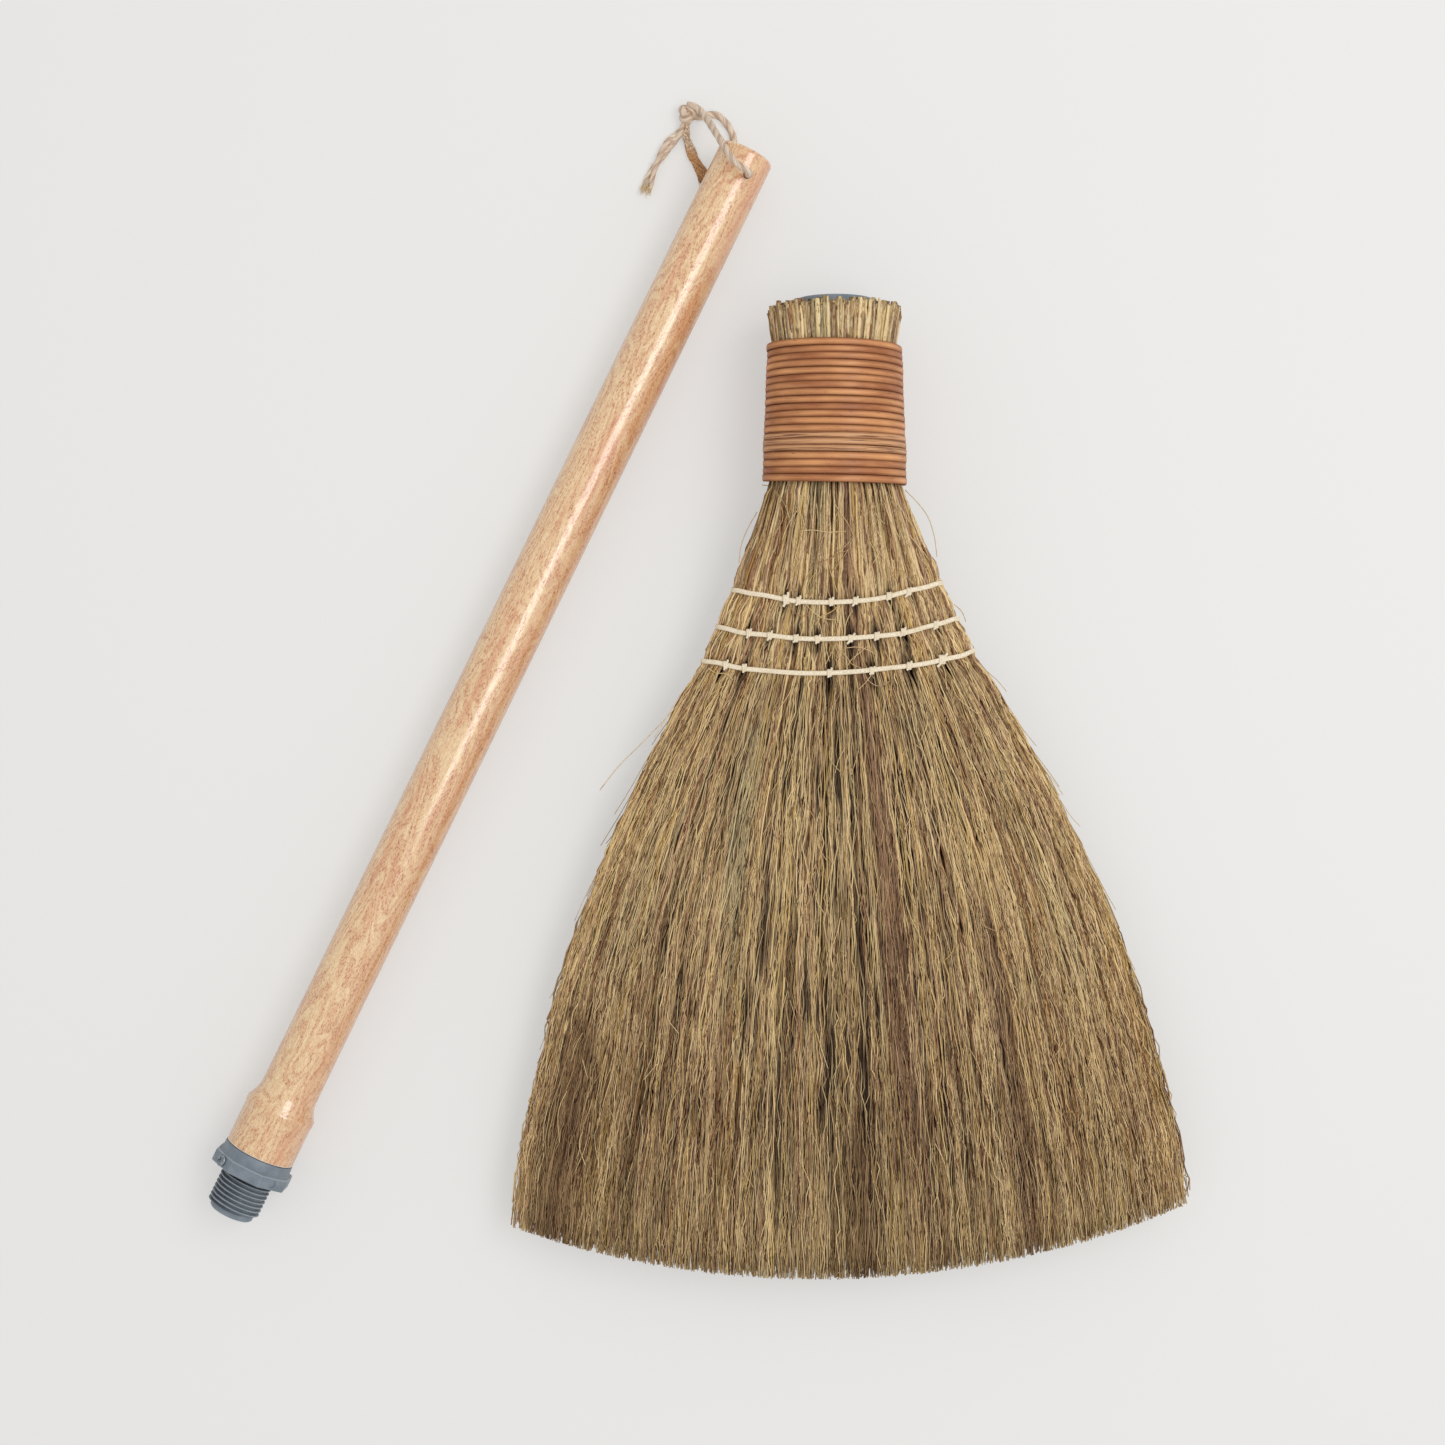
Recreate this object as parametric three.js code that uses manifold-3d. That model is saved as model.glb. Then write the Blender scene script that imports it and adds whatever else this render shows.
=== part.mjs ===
// A straw broom taken apart on a table: the head lies flat and its screw-in handle lies beside it.
// Millimetres, +Z up. The table is z = 0, and the origin is under the middle of the whole layout.
import * as THREE from "three";
import { mergeVertices } from "three/addons/utils/BufferGeometryUtils.js";
import Module from "manifold-3d";

const wasm = await Module();
wasm.setup();

const FULL_TURN = 2 * Math.PI;
const QUARTER_TURN = Math.PI / 2;
const degrees = THREE.MathUtils.degToRad;
const { lerp, clamp, smoothstep } = THREE.MathUtils;

// Fits shared by all pieces
const seatGap = 0.3; // between pieces that touch
const cutOverrun = 1; // how far a cutting tool passes the face that it opens

// The half-inch pipe thread of the handle and of its socket in the head
const thread = {
  majorRadius: 10.48,
  depth: 1.16,
  pitch: 1.814,
  fit: 0.25,
  maleLength: 14.6,
  femaleLength: 18,
  collarLength: 0.8, // a plain collar between the nut and the first turn
  collarRadius: 10.66,
};
const THREAD_COLUMNS = 14;
const THREAD_ROWS_PER_PITCH = 4;
const ROUND_SIDES = 20;
const DRILL_SIDES = 12;

// The handle: a wooden rod in a printed film, glued and screwed into a threaded plastic adapter
const nut = { acrossFlats: 30.5, height: 5.1, sides: 8, dimpleRadius: 1.6, dimpleDepth: 0.4 };
const adapter = {
  leadRadius: 8.9,
  leadLength: 2.5,
  boreRadius: 7.2,
  floor: 0.5,
  skirtRadius: 14.1,
  skirtHeight: 4.3,
  socketRadius: 13.3,
  socketLength: 18.7,
  socketBore: 10.1,
};
const screw = { headRadius: 1.9, headHeight: 0.9, shankRadius: 1.2, depth: 11 };
const stick = {
  length: 447.4, // from the nut's lower face to the grip end
  gripRadius: 11.1,
  cuffEndRadius: 11.5,
  filmWall: 0.3,
  beadRise: 0.25,
  beadLength: 1.3,
  flareLength: 8,
  endRound: 2,
  filmLip: 2.6,
};
const hangHole = { radius: 2, fromEnd: 9.9, tilt: degrees(25) };
const twine = { diameter: 2.2, sides: 8, steps: 36, tailSteps: 6 };
const knot = { radius: 3.9, flatten: 0.95 };
const tails = { longDiameter: 3.4, shortDiameter: 2.4 };

// The head: a threaded socket, twelve straw bundles round it, two canes wound on them, three sewn rows
const socket = {
  radius: 15.6,
  length: 34,
  rimChamfer: 0.8,
  floorThickness: 3,
  pipeBore: 10.2,
};
const cane = {
  width: 2.24,
  thickness: 2,
  startDepth: 20.5, // socket rim to the first turn's middle, on the upper side
  upperTurns: 13,
  upperPitch: 2.67,
  spliceTurns: 3,
  splicePitch: 2.4,
  spliceWidth: 1.9,
  spliceRise: 0.35,
  lowerTurns: 4,
  lowerPitch: 2.92,
  lowerWidth: 2.45,
};
const CANE_STEPS_PER_TURN = 20;
const neck = {
  topRadius: 26.45, // outside of the wound canes at their upper and lower ends
  bottomRadius: 28.2,
  floorCut: 0.22,
  stubDepth: 3.5, // socket rim to the cut ends of the stalks
  stubRadius: 26,
  bottomDepth: 72.7,
};
const rows = {
  firstDepth: 117.7, // socket rim to the first sewn row, on the broom's middle line
  secondStep: 14.3, // from each sewn row to the next
  thirdStep: 13,
  halfThickness: 12.2,
  cordWidth: 1.8,
  cordThickness: 1,
  cordGap: 0.4, // from the straw, which lets the cord's straight steps clear it
  tieThickness: 0.8,
  tieHeight: 1.1,
  waist: 0.9,
  tieGap: 0.9, // half the room that the pinched bundles leave for a tie
  pinchReach: 4.2,
  lastHalfWidth: 53,
  knotRadius: 1.7,
};
const fan = {
  length: 379.5, // socket rim to the middle of the tips
  halfWidth: 136,
  halfThickness: 14,
  bowAtRows: 6.5, // how much the edges run ahead of the middle
  bowAtTips: 22.5,
  drift: 8.5, // how far the tips lean to one side
  floorCut: 0.5,
  backing: 3.6,
  tipWidth: 2.1,
  tipHeight: 3.3,
  midWidth: 1.75,
  midHeight: 3.5,
  raggedness: 4,
};
const firstRow = rows.firstDepth;
const secondRow = firstRow + rows.secondStep;
const lastRow = secondRow + rows.thirdStep;
const rowDepths = [firstRow, secondRow, lastRow];
const NECK_WIDENING_POWER = 1.43;
const SKEW_SLOPE = 0.034; // the straw hangs a little askew: its right side runs this much higher
const FAN_OPENING_POWER = 1.7;
const EDGE_THICKNESS_SHARE = 0.5;
const BUNDLES = 12;
const FAN_NODES = 4;
const STRANDS_ACROSS = 15; // in one layer of one fan node
const STRAND_LAYERS = 5;
const BACKING_STRIPS = 4;

// Where the two parts lie
const layout = {
  headX: 51.2,
  rimY: 157.6,
  shoulderX: -178.65,
  shoulderY: -184.2,
  handleAngle: degrees(-26),
};

// Colours and finishes
const finishes = {
  straw: new THREE.MeshStandardMaterial({ color: 0xaa9164, roughness: 0.8 }),
  stalk: new THREE.MeshStandardMaterial({ color: 0xb9a577, roughness: 0.8 }),
  rattan: new THREE.MeshStandardMaterial({ color: 0xbe7d55, roughness: 0.5 }),
  sewing: new THREE.MeshStandardMaterial({ color: 0xebdcbe, roughness: 0.7 }),
  plastic: new THREE.MeshStandardMaterial({ color: 0x707c87, roughness: 0.45 }),
  film: new THREE.MeshStandardMaterial({ color: 0xe8c496, roughness: 0.25 }),
  wood: new THREE.MeshStandardMaterial({ color: 0xd9bd92, roughness: 0.6 }),
  steel: new THREE.MeshStandardMaterial({ color: 0x7b838b, roughness: 0.4, metalness: 0.6 }),
  twine: new THREE.MeshStandardMaterial({ color: 0xb9a07d, roughness: 0.9 }),
};

const vector = (x, y, z) => new THREE.Vector3(x, y, z);

// Closed meshes and solids

function meshOf(points, triangles) {
  const geometry = new THREE.BufferGeometry();
  const places = points.flatMap((p) => [p.x, p.y, p.z]);
  geometry.setAttribute("position", new THREE.Float32BufferAttribute(places, 3));
  geometry.setIndex(triangles);
  return facingOut(geometry);
}

function facingOut(geometry) {
  const index = geometry.index.array;
  const at = (i) => new THREE.Vector3().fromBufferAttribute(geometry.attributes.position, index[i]);
  let volume = 0;
  for (let i = 0; i < index.length; i += 3) {
    volume += at(i).dot(at(i + 1).cross(at(i + 2)));
  }
  if (volume < 0) {
    for (let i = 0; i < index.length; i += 3) {
      [index[i + 1], index[i + 2]] = [index[i + 2], index[i + 1]];
    }
  }
  return geometry;
}

// A skin over rings of equally many points. The rings' ends are capped, or the last ring joins the first.
function skin(rings, { joined = false } = {}) {
  const sides = rings[0].length;
  const points = rings.flat();
  const triangles = [];
  const spans = joined ? rings.length : rings.length - 1;
  for (let ring = 0; ring < spans; ring++) {
    const here = ring * sides;
    const next = ((ring + 1) % rings.length) * sides;
    for (let side = 0; side < sides; side++) {
      const after = (side + 1) % sides;
      triangles.push(here + side, here + after, next + after, here + side, next + after, next + side);
    }
  }
  if (!joined) {
    const last = (rings.length - 1) * sides;
    for (let side = 1; side < sides - 1; side++) {
      triangles.push(0, side + 1, side, last, last + side, last + side + 1);
    }
  }
  return meshOf(points, triangles);
}

function solidOf(geometry) {
  const bare = geometry.clone();
  bare.deleteAttribute("normal");
  bare.deleteAttribute("uv");
  const merged = mergeVertices(bare);
  return new wasm.Manifold(
    new wasm.Mesh({
      numProp: 3,
      vertProperties: merged.attributes.position.array,
      triVerts: new Uint32Array(merged.index.array),
    }),
  );
}

function geometryOf(solid) {
  const { numProp, vertProperties, triVerts } = solid.getMesh();
  const points = [];
  for (let i = 0; i < vertProperties.length; i += numProp) {
    points.push(vector(vertProperties[i], vertProperties[i + 1], vertProperties[i + 2]));
  }
  return meshOf(points, Array.from(triVerts));
}

// A closed outline of [radius, y] pairs turned about the Y axis
function turned(outline, sides = ROUND_SIDES) {
  const profile = outline.map(([radius, y]) => new THREE.Vector2(radius, y));
  const onAxis = outline[0][0] === 0 && outline.at(-1)[0] === 0;
  if (!onAxis) profile.push(profile[0].clone());
  const geometry = new THREE.LatheGeometry(profile, sides);
  geometry.deleteAttribute("normal");
  geometry.deleteAttribute("uv");
  return facingOut(mergeVertices(withoutSlivers(geometry)));
}

// A profile that starts on the axis leaves triangles without area there.
function withoutSlivers(geometry) {
  const merged = mergeVertices(geometry);
  const kept = [];
  const index = merged.index.array;
  for (let i = 0; i < index.length; i += 3) {
    const corners = new Set([index[i], index[i + 1], index[i + 2]]);
    if (corners.size === 3) kept.push(...corners);
  }
  merged.setIndex(kept);
  return merged;
}

// A round pin or drill along the Z axis, from z = low to z = high
function pin(radius, low, high, sides = DRILL_SIDES) {
  const geometry = new THREE.CylinderGeometry(radius, radius, high - low, sides);
  geometry.rotateX(QUARTER_TURN);
  return geometry.translate(0, 0, (low + high) / 2);
}

// A rod along Y with a helical ridge, from y = low to y = high
function threadedRod(low, high, growth) {
  const crest = thread.majorRadius + growth;
  const middle = crest - thread.depth / 2;
  const rowStep = thread.pitch / THREAD_ROWS_PER_PITCH;
  const rowCount = Math.max(1, Math.round((high - low) / rowStep));
  const rings = [];
  for (let row = 0; row <= rowCount; row++) {
    const y = lerp(low, high, row / rowCount);
    const ring = [];
    for (let column = 0; column < THREAD_COLUMNS; column++) {
      const angle = (column / THREAD_COLUMNS) * FULL_TURN;
      const wave = Math.cos((y / thread.pitch) * FULL_TURN - angle);
      const radius = middle + (wave * thread.depth) / 2;
      ring.push(vector(radius * Math.cos(angle), y, radius * Math.sin(angle)));
    }
    rings.push(ring);
  }
  return skin(rings);
}

function piece(name, geometry, finish) {
  const mesh = new THREE.Mesh(geometry, finish);
  mesh.name = name;
  return mesh;
}

// The handle. Its axis is Y, y = 0 is the nut's lower face, and +Y runs to the grip end.

const socketTop = nut.height + adapter.skirtHeight + adapter.socketLength;
const cuffRadius = adapter.socketRadius + seatGap + stick.filmWall;
const rodInset = stick.filmWall + seatGap;

// The film's outer outline from the cuff to where the grip end starts to round over
function filmOutline(inset) {
  const beadRadius = cuffRadius + stick.beadRise;
  const beadStart = socketTop - stick.beadLength;
  const flareEnd = socketTop + stick.flareLength;
  const flare = (share) => [
    lerp(beadRadius, stick.cuffEndRadius, Math.sin(share * QUARTER_TURN)) - inset,
    lerp(socketTop + seatGap, flareEnd, share),
  ];
  return [
    [cuffRadius - inset, nut.height + adapter.skirtHeight + seatGap],
    [cuffRadius - inset, beadStart - stick.beadLength],
    [beadRadius - inset, beadStart],
    ...[0, 1 / 3, 1].map(flare),
    [stick.gripRadius - inset, stick.length - stick.endRound],
  ];
}

// The rounded edge of the grip end, from the side to the end face
function gripEdge(inset) {
  const radius = stick.endRound - inset;
  return [1 / 3, 2 / 3, 1].map((share) => [
    stick.gripRadius - stick.endRound + radius * Math.cos(share * QUARTER_TURN),
    stick.length - stick.endRound + radius * Math.sin(share * QUARTER_TURN),
  ]);
}

function crossHole() {
  const drill = pin(hangHole.radius, -stick.gripRadius - cutOverrun, stick.gripRadius + cutOverrun);
  drill.rotateY(hangHole.tilt);
  return solidOf(drill.translate(0, stick.length - hangHole.fromEnd, 0));
}

function grainFilm() {
  const lipRadius = stick.gripRadius - stick.endRound - stick.filmLip;
  const side = (inset) => [...filmOutline(inset), ...gripEdge(inset), [lipRadius, stick.length - inset]];
  const outside = side(0);
  const inside = side(stick.filmWall);
  const tube = solidOf(turned([...outside, ...inside.reverse()]));
  return geometryOf(tube.subtract(crossHole()));
}

// From the Z axis to the middle of the nut's facet at the upper left
function toScrewFacet(geometry) {
  geometry.rotateY(-QUARTER_TURN / 2);
  return geometry.translate(0, nut.height / 2, 0);
}

function handleRod() {
  const tenonRadius = adapter.socketBore - seatGap;
  const shoulder = socketTop + seatGap;
  const rounded = gripEdge(rodInset);
  const outline = [
    [0, adapter.floor + seatGap],
    [tenonRadius, adapter.floor + seatGap],
    [tenonRadius, shoulder],
    [stick.cuffEndRadius - rodInset, shoulder],
    [stick.gripRadius - rodInset, stick.length - stick.endRound],
    ...rounded,
    [0, rounded.at(-1)[1]],
  ];
  const pilotBottom = nut.acrossFlats / 2 - screw.depth - seatGap;
  const pilot = toScrewFacet(pin(screw.shankRadius + seatGap, pilotBottom, tenonRadius + cutOverrun));
  return geometryOf(solidOf(turned(outline)).subtract(crossHole()).subtract(solidOf(pilot)));
}

function nutPrism() {
  const cornerRadius = nut.acrossFlats / 2 / Math.cos(Math.PI / nut.sides);
  const geometry = new THREE.CylinderGeometry(cornerRadius, cornerRadius, nut.height, nut.sides);
  geometry.rotateY(Math.PI / nut.sides);
  return solidOf(geometry.translate(0, nut.height / 2, 0));
}

function maleAdapter() {
  const flat = nut.acrossFlats / 2;
  const threadEnd = -thread.maleLength;
  const leadEnd = threadEnd - adapter.leadLength;
  const skirtTop = nut.height + adapter.skirtHeight;
  const lead = [
    [0, leadEnd],
    [adapter.leadRadius, leadEnd],
    [adapter.leadRadius, -thread.collarLength],
    [thread.collarRadius, -thread.collarLength],
    [thread.collarRadius, 0],
    [0, 0],
  ];
  const sleeve = [
    [0, 0],
    [adapter.skirtRadius, 0],
    [adapter.skirtRadius, skirtTop],
    [adapter.socketRadius, skirtTop],
    [adapter.socketRadius, socketTop],
    [0, socketTop],
  ];
  const hollow = [
    [0, leadEnd - cutOverrun],
    [adapter.boreRadius, leadEnd - cutOverrun],
    [adapter.boreRadius, adapter.floor],
    [adapter.socketBore, adapter.floor],
    [adapter.socketBore, socketTop + cutOverrun],
    [0, socketTop + cutOverrun],
  ];
  const holeBottom = adapter.socketBore - cutOverrun;
  const screwHole = toScrewFacet(pin(screw.shankRadius + seatGap, holeBottom, flat + cutOverrun));
  const dimple = toScrewFacet(pin(nut.dimpleRadius, flat - nut.dimpleDepth, flat + cutOverrun));
  dimple.rotateY(QUARTER_TURN);
  const body = solidOf(threadedRod(threadEnd, cutOverrun, 0))
    .add(solidOf(turned(lead)))
    .add(nutPrism())
    .add(solidOf(turned(sleeve)));
  return geometryOf(
    body.subtract(solidOf(turned(hollow))).subtract(solidOf(screwHole)).subtract(solidOf(dimple)),
  );
}

function adapterScrew() {
  const seat = nut.acrossFlats / 2 + seatGap;
  const tip = seat - screw.depth;
  const outline = [
    [0, tip],
    [screw.shankRadius, tip + screw.shankRadius],
    [screw.shankRadius, seat],
    [screw.headRadius, seat],
    [screw.headRadius, seat + screw.headHeight / 2],
    [screw.headRadius / 2, seat + screw.headHeight],
    [0, seat + screw.headHeight],
  ];
  return toScrewFacet(turned(outline, DRILL_SIDES).rotateX(QUARTER_TURN));
}

// The twine's route, chosen by hand: x across the handle, y along it, z above its axis.
// It rises from the knot, arches over the wood, drops through the hole and comes back along the table.
const loopRoute = [
  [-25.3, 455.7, -9.4],
  [-22.6, 454.6, -6.8],
  [-19.0, 452.0, -2.2],
  [-15.4, 449.0, 2.8],
  [-11.6, 445.9, 7.9],
  [-7.8, 442.8, 12.1],
  [-4.2, 440.2, 15.3],
  [-1.2, 438.5, 17.1],
  [1.6, 437.7, 17.8],
  [4.1, 437.5, 16.7],
  [5.5, 437.5, 14.4],
  [5.3, 437.5, 11.4],
  [3.4, 437.5, 7.3],
  [0, 437.5, 0],
  [-3.3, 437.5, -7.1],
  [-4.6, 437.6, -9.9],
  [-5.7, 438.5, -12.2],
  [-6.4, 440.4, -13.7],
  [-6.7, 443.0, -14.1],
  [-7.0, 446.4, -14.1],
  [-7.5, 449.8, -14.1],
  [-8.7, 452.8, -14.1],
  [-11.3, 455.4, -14.1],
  [-14.6, 457.3, -14.0],
  [-18.2, 458.3, -13.9],
  [-21.3, 457.4, -13.7],
  [-23.4, 455.6, -13.4],
  [-25.1, 454.3, -13.0],
];
const longTailRoute = [
  [-30.9, 449.4, -12.4],
  [-30.8, 445.5, -13.1],
  [-31.0, 440.2, -13.5],
  [-31.5, 434.1, -13.5],
  [-32.0, 426.8, -13.5],
  [-31.2, 419.8, -13.5],
];
const shortTailRoute = [
  [-27.2, 449.4, -12.6],
  [-26.4, 446.6, -13.5],
  [-23.6, 443.2, -14.0],
  [-19.7, 439.3, -14.0],
  [-15.0, 435.7, -14.0],
  [-11.8, 433.7, -14.0],
];
const knotPlace = [-29.2, 453.4, -11.3];

function cordAlong(route, diameter, steps) {
  const path = new THREE.CatmullRomCurve3(route.map((p) => vector(...p)), false, "centripetal");
  const section = new THREE.Shape();
  for (let side = 0; side < twine.sides; side++) {
    const angle = (side / twine.sides) * FULL_TURN;
    const corner = [(diameter / 2) * Math.cos(angle), (diameter / 2) * Math.sin(angle)];
    if (side === 0) section.moveTo(...corner);
    else section.lineTo(...corner);
  }
  section.closePath();
  const geometry = new THREE.ExtrudeGeometry(section, { steps, extrudePath: path, bevelEnabled: false });
  geometry.deleteAttribute("normal");
  geometry.deleteAttribute("uv");
  return facingOut(mergeVertices(geometry));
}

function twineKnot() {
  const geometry = new THREE.IcosahedronGeometry(knot.radius, 1);
  geometry.deleteAttribute("normal");
  geometry.deleteAttribute("uv");
  geometry.scale(1, knot.flatten, knot.flatten);
  return facingOut(mergeVertices(geometry)).translate(...knotPlace);
}

function handleGroup() {
  const group = new THREE.Group();
  const longTail = cordAlong(longTailRoute, tails.longDiameter, twine.tailSteps);
  const shortTail = cordAlong(shortTailRoute, tails.shortDiameter, twine.tailSteps);
  group.add(
    piece("handle_rod", handleRod(), finishes.wood),
    piece("grain_film_sleeve", grainFilm(), finishes.film),
    piece("threaded_adapter", maleAdapter(), finishes.plastic),
    piece("adapter_screw", adapterScrew(), finishes.steel),
    piece("hanging_twine", cordAlong(loopRoute, twine.diameter, twine.steps), finishes.twine),
    piece("twine_knot", twineKnot(), finishes.twine),
    piece("twine_tail_long", longTail, finishes.twine),
    piece("twine_tail_short", shortTail, finishes.twine),
  );
  group.rotation.z = layout.handleAngle;
  group.position.set(layout.shoulderX, layout.shoulderY, nut.acrossFlats / 2);
  return group;
}

// The head. Its frame has the socket's axis as Y, with y = 0 at the socket's rim and +Y out of its mouth.
// A depth is measured from the rim towards the tips.

const neckAxisHeight = neck.bottomRadius - neck.floorCut;
// A turn's inner side is made of straight steps, which come nearer to the straw between their corners.
const stepSag = neck.bottomRadius * (1 - Math.cos(Math.PI / CANE_STEPS_PER_TURN));
const caneInset = cane.thickness + seatGap + stepSag;
const caneTop = cane.startDepth - cane.upperPitch;
const bundleEnd = lastRow + rows.pinchReach;

const shareOf = (depth, from, to) => clamp((depth - from) / (to - from), 0, 1);

function caneRadius(depth) {
  return lerp(neck.topRadius, neck.bottomRadius, shareOf(depth, cane.startDepth, neck.bottomDepth));
}

// How near a depth is to a sewn row: 1 on the row, 0 beyond its reach
function nearRow(depth) {
  const nearest = Math.min(...rowDepths.map((row) => Math.abs(row - depth)));
  return clamp(1 - nearest / rows.pinchReach, 0, 1);
}

function halfWidth(depth) {
  const strawRadius = neck.bottomRadius - caneInset;
  if (depth <= caneTop) {
    const share = shareOf(depth, neck.stubDepth, caneTop);
    return lerp(neck.stubRadius, neck.topRadius - caneInset, share);
  }
  if (depth <= neck.bottomDepth) return caneRadius(depth) - caneInset;
  if (depth <= lastRow) {
    const share = shareOf(depth, neck.bottomDepth, lastRow) ** NECK_WIDENING_POWER;
    return lerp(strawRadius, rows.lastHalfWidth, share) - rows.waist * nearRow(depth);
  }
  const opened = 1 - (1 - shareOf(depth, lastRow, fan.length)) ** FAN_OPENING_POWER;
  return lerp(rows.lastHalfWidth, fan.halfWidth, opened) - rows.waist * nearRow(depth);
}

function halfThickness(depth) {
  if (depth <= neck.bottomDepth) return halfWidth(depth);
  const strawRadius = neck.bottomRadius - caneInset;
  const flattened = smoothstep(depth, neck.bottomDepth, firstRow);
  const beforeRows = lerp(strawRadius, rows.halfThickness, flattened);
  const afterRows = lerp(rows.halfThickness, fan.halfThickness, shareOf(depth, lastRow, fan.length));
  return (depth <= firstRow ? beforeRows : afterRows) - rows.waist * nearRow(depth);
}

// 2 is an ellipse, and more is squarer.
const SQUARENESS_AT_ROWS = 3;
const squareness = (depth) => lerp(2, SQUARENESS_AT_ROWS, smoothstep(depth, neck.bottomDepth, firstRow));

function bow(depth) {
  if (depth <= lastRow) return fan.bowAtRows * smoothstep(depth, neck.bottomDepth, firstRow);
  return lerp(fan.bowAtRows, fan.bowAtTips, shareOf(depth, lastRow, fan.length));
}

const easedAlongFan = (depth) => 1 - (1 - shareOf(depth, neck.bottomDepth, fan.length)) ** 2;
const lean = (depth) => fan.drift * easedAlongFan(depth);
const tipAxisHeight = fan.halfThickness - fan.floorCut;
const sag = (depth) => lerp(0, tipAxisHeight - neckAxisHeight, easedAlongFan(depth));

// A point of the straw: x and z from the middle of the section at that depth, kept above the table
function inHead(depth, x, z) {
  const skew = SKEW_SLOPE * smoothstep(depth, neck.bottomDepth, firstRow);
  const y = bow(depth) * (x / halfWidth(depth)) ** 2 + skew * x - depth;
  return vector(x + lean(depth), y, Math.max(z + sag(depth), -neckAxisHeight));
}

// The straw bundles. Round the socket they stand in a ring. Below the canes they come to lie side by side.

const ringOrder = [180, 150, -150, 120, -120, 90, -90, 60, -60, 30, -30, 0].map(degrees);
const unwindStart = neck.bottomDepth - cane.lowerTurns * cane.lowerPitch;
const unwindEnd = firstRow - rows.pinchReach;
const STEEPEST_SPLIT = degrees(65);

function bundleSeeds(depth) {
  const ring = (socket.radius + halfWidth(depth)) / 2;
  const unwound = shareOf(depth, unwindStart, unwindEnd);
  const side = smoothstep(unwound, 0, 1);
  const height = Math.tan((1 - unwound) * STEEPEST_SPLIT) / Math.tan(STEEPEST_SPLIT);
  return ringOrder.map((angle, i) => {
    const inRow = halfWidth(depth) * ((2 * i + 1) / BUNDLES - 1);
    return new THREE.Vector2(lerp(ring * Math.cos(angle), inRow, side), ring * Math.sin(angle) * height);
  });
}

// Half the gap between neighbouring bundles
const bundleGap = (depth) => lerp(restGap(depth), rows.tieGap, nearRow(depth));
const UNWINDING_GAP_SHARE = 2;
function restGap(depth) {
  const turning = depth >= unwindStart && depth < firstRow;
  return (turning ? UNWINDING_GAP_SHARE : 0.5) * seatGap;
}

// The hollow inside the ring: the socket, closing to nothing below it
const hollowClose = 14;
function innerRadius(depth) {
  const full = socket.radius + seatGap;
  return full * (1 - shareOf(depth, socket.length + seatGap, socket.length + hollowClose));
}

// How far a ray from a bundle's seed runs before it meets a neighbour, the outline or the socket
function reach(seeds, own, direction, depth) {
  const seed = seeds[own];
  const gap = bundleGap(depth);
  let far = halfWidth(depth) * 2;
  seeds.forEach((other, i) => {
    if (i === own) return;
    const apart = other.clone().sub(seed);
    const length = apart.length();
    const towards = direction.dot(apart) / length;
    if (towards > 0) far = Math.min(far, (length / 2 - gap) / towards);
  });
  const power = squareness(depth);
  const outside = (t) => {
    const x = Math.abs(seed.x + direction.x * t) / halfWidth(depth);
    const z = Math.abs(seed.y + direction.y * t) / halfThickness(depth);
    return x ** power + z ** power > 1;
  };
  if (outside(far)) {
    let near = 0;
    for (let halving = 0; halving < 30; halving++) {
      const middle = (near + far) / 2;
      if (outside(middle)) far = middle;
      else near = middle;
    }
  }
  const hollow = innerRadius(depth);
  const along = seed.dot(direction);
  const under = along ** 2 - seed.lengthSq() + hollow ** 2;
  if (hollow > 0 && along < 0 && under > 0) far = Math.min(far, -along - Math.sqrt(under));
  return far;
}

const CORNER_SHARE = 0.94;
function bundleRing(own, depth) {
  const seeds = bundleSeeds(depth);
  const start = ringOrder[own];
  const towardsRow = Math.sign(Math.cos(start) * Math.sin(start)) / 8;
  const square = Math.round(start / QUARTER_TURN + towardsRow) * QUARTER_TURN;
  const turn = lerp(start, square, shareOf(depth, unwindStart, unwindEnd));
  const out = new THREE.Vector2(Math.cos(turn), Math.sin(turn));
  const across = new THREE.Vector2(-out.y, out.x);
  const arms = [out, across, out.clone().negate(), across.clone().negate()];
  const lengths = arms.map((arm) => reach(seeds, own, arm, depth));
  const ring = [];
  arms.forEach((arm, i) => {
    const next = (i + 1) % arms.length;
    const corner = arm.clone().multiplyScalar(lengths[i]).addScaledVector(arms[next], lengths[next]);
    const cornerLength = corner.length();
    corner.divideScalar(cornerLength);
    const cornerReach = Math.min(reach(seeds, own, corner, depth), CORNER_SHARE * cornerLength);
    ring.push(seeds[own].clone().addScaledVector(arm, lengths[i]));
    ring.push(seeds[own].clone().addScaledVector(corner, cornerReach));
  });
  return ring.map((p) => inHead(depth, p.x, p.y));
}

const UNWINDING_STEPS = 9;
const unwindingDepths = [];
for (let step = 0; step < UNWINDING_STEPS; step++) {
  unwindingDepths.push(lerp(unwindStart, unwindEnd, step / UNWINDING_STEPS));
}
const bundleDepths = [
  neck.stubDepth,
  caneTop,
  socket.length + seatGap,
  socket.length + hollowClose,
  ...unwindingDepths,
  unwindEnd,
  firstRow,
  (firstRow + secondRow) / 2,
  secondRow,
  (secondRow + lastRow) / 2,
  lastRow,
  bundleEnd,
];

function strawBundle(own) {
  return skin(bundleDepths.map((depth) => bundleRing(own, depth)));
}

// The wound canes: one helix from the neck's top, cut where the second cane takes over

const turnsBeforeSplice = cane.upperTurns;
const turnsOfFirstCane = cane.upperTurns + cane.spliceTurns;
const allTurns = turnsOfFirstCane + cane.lowerTurns;

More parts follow.
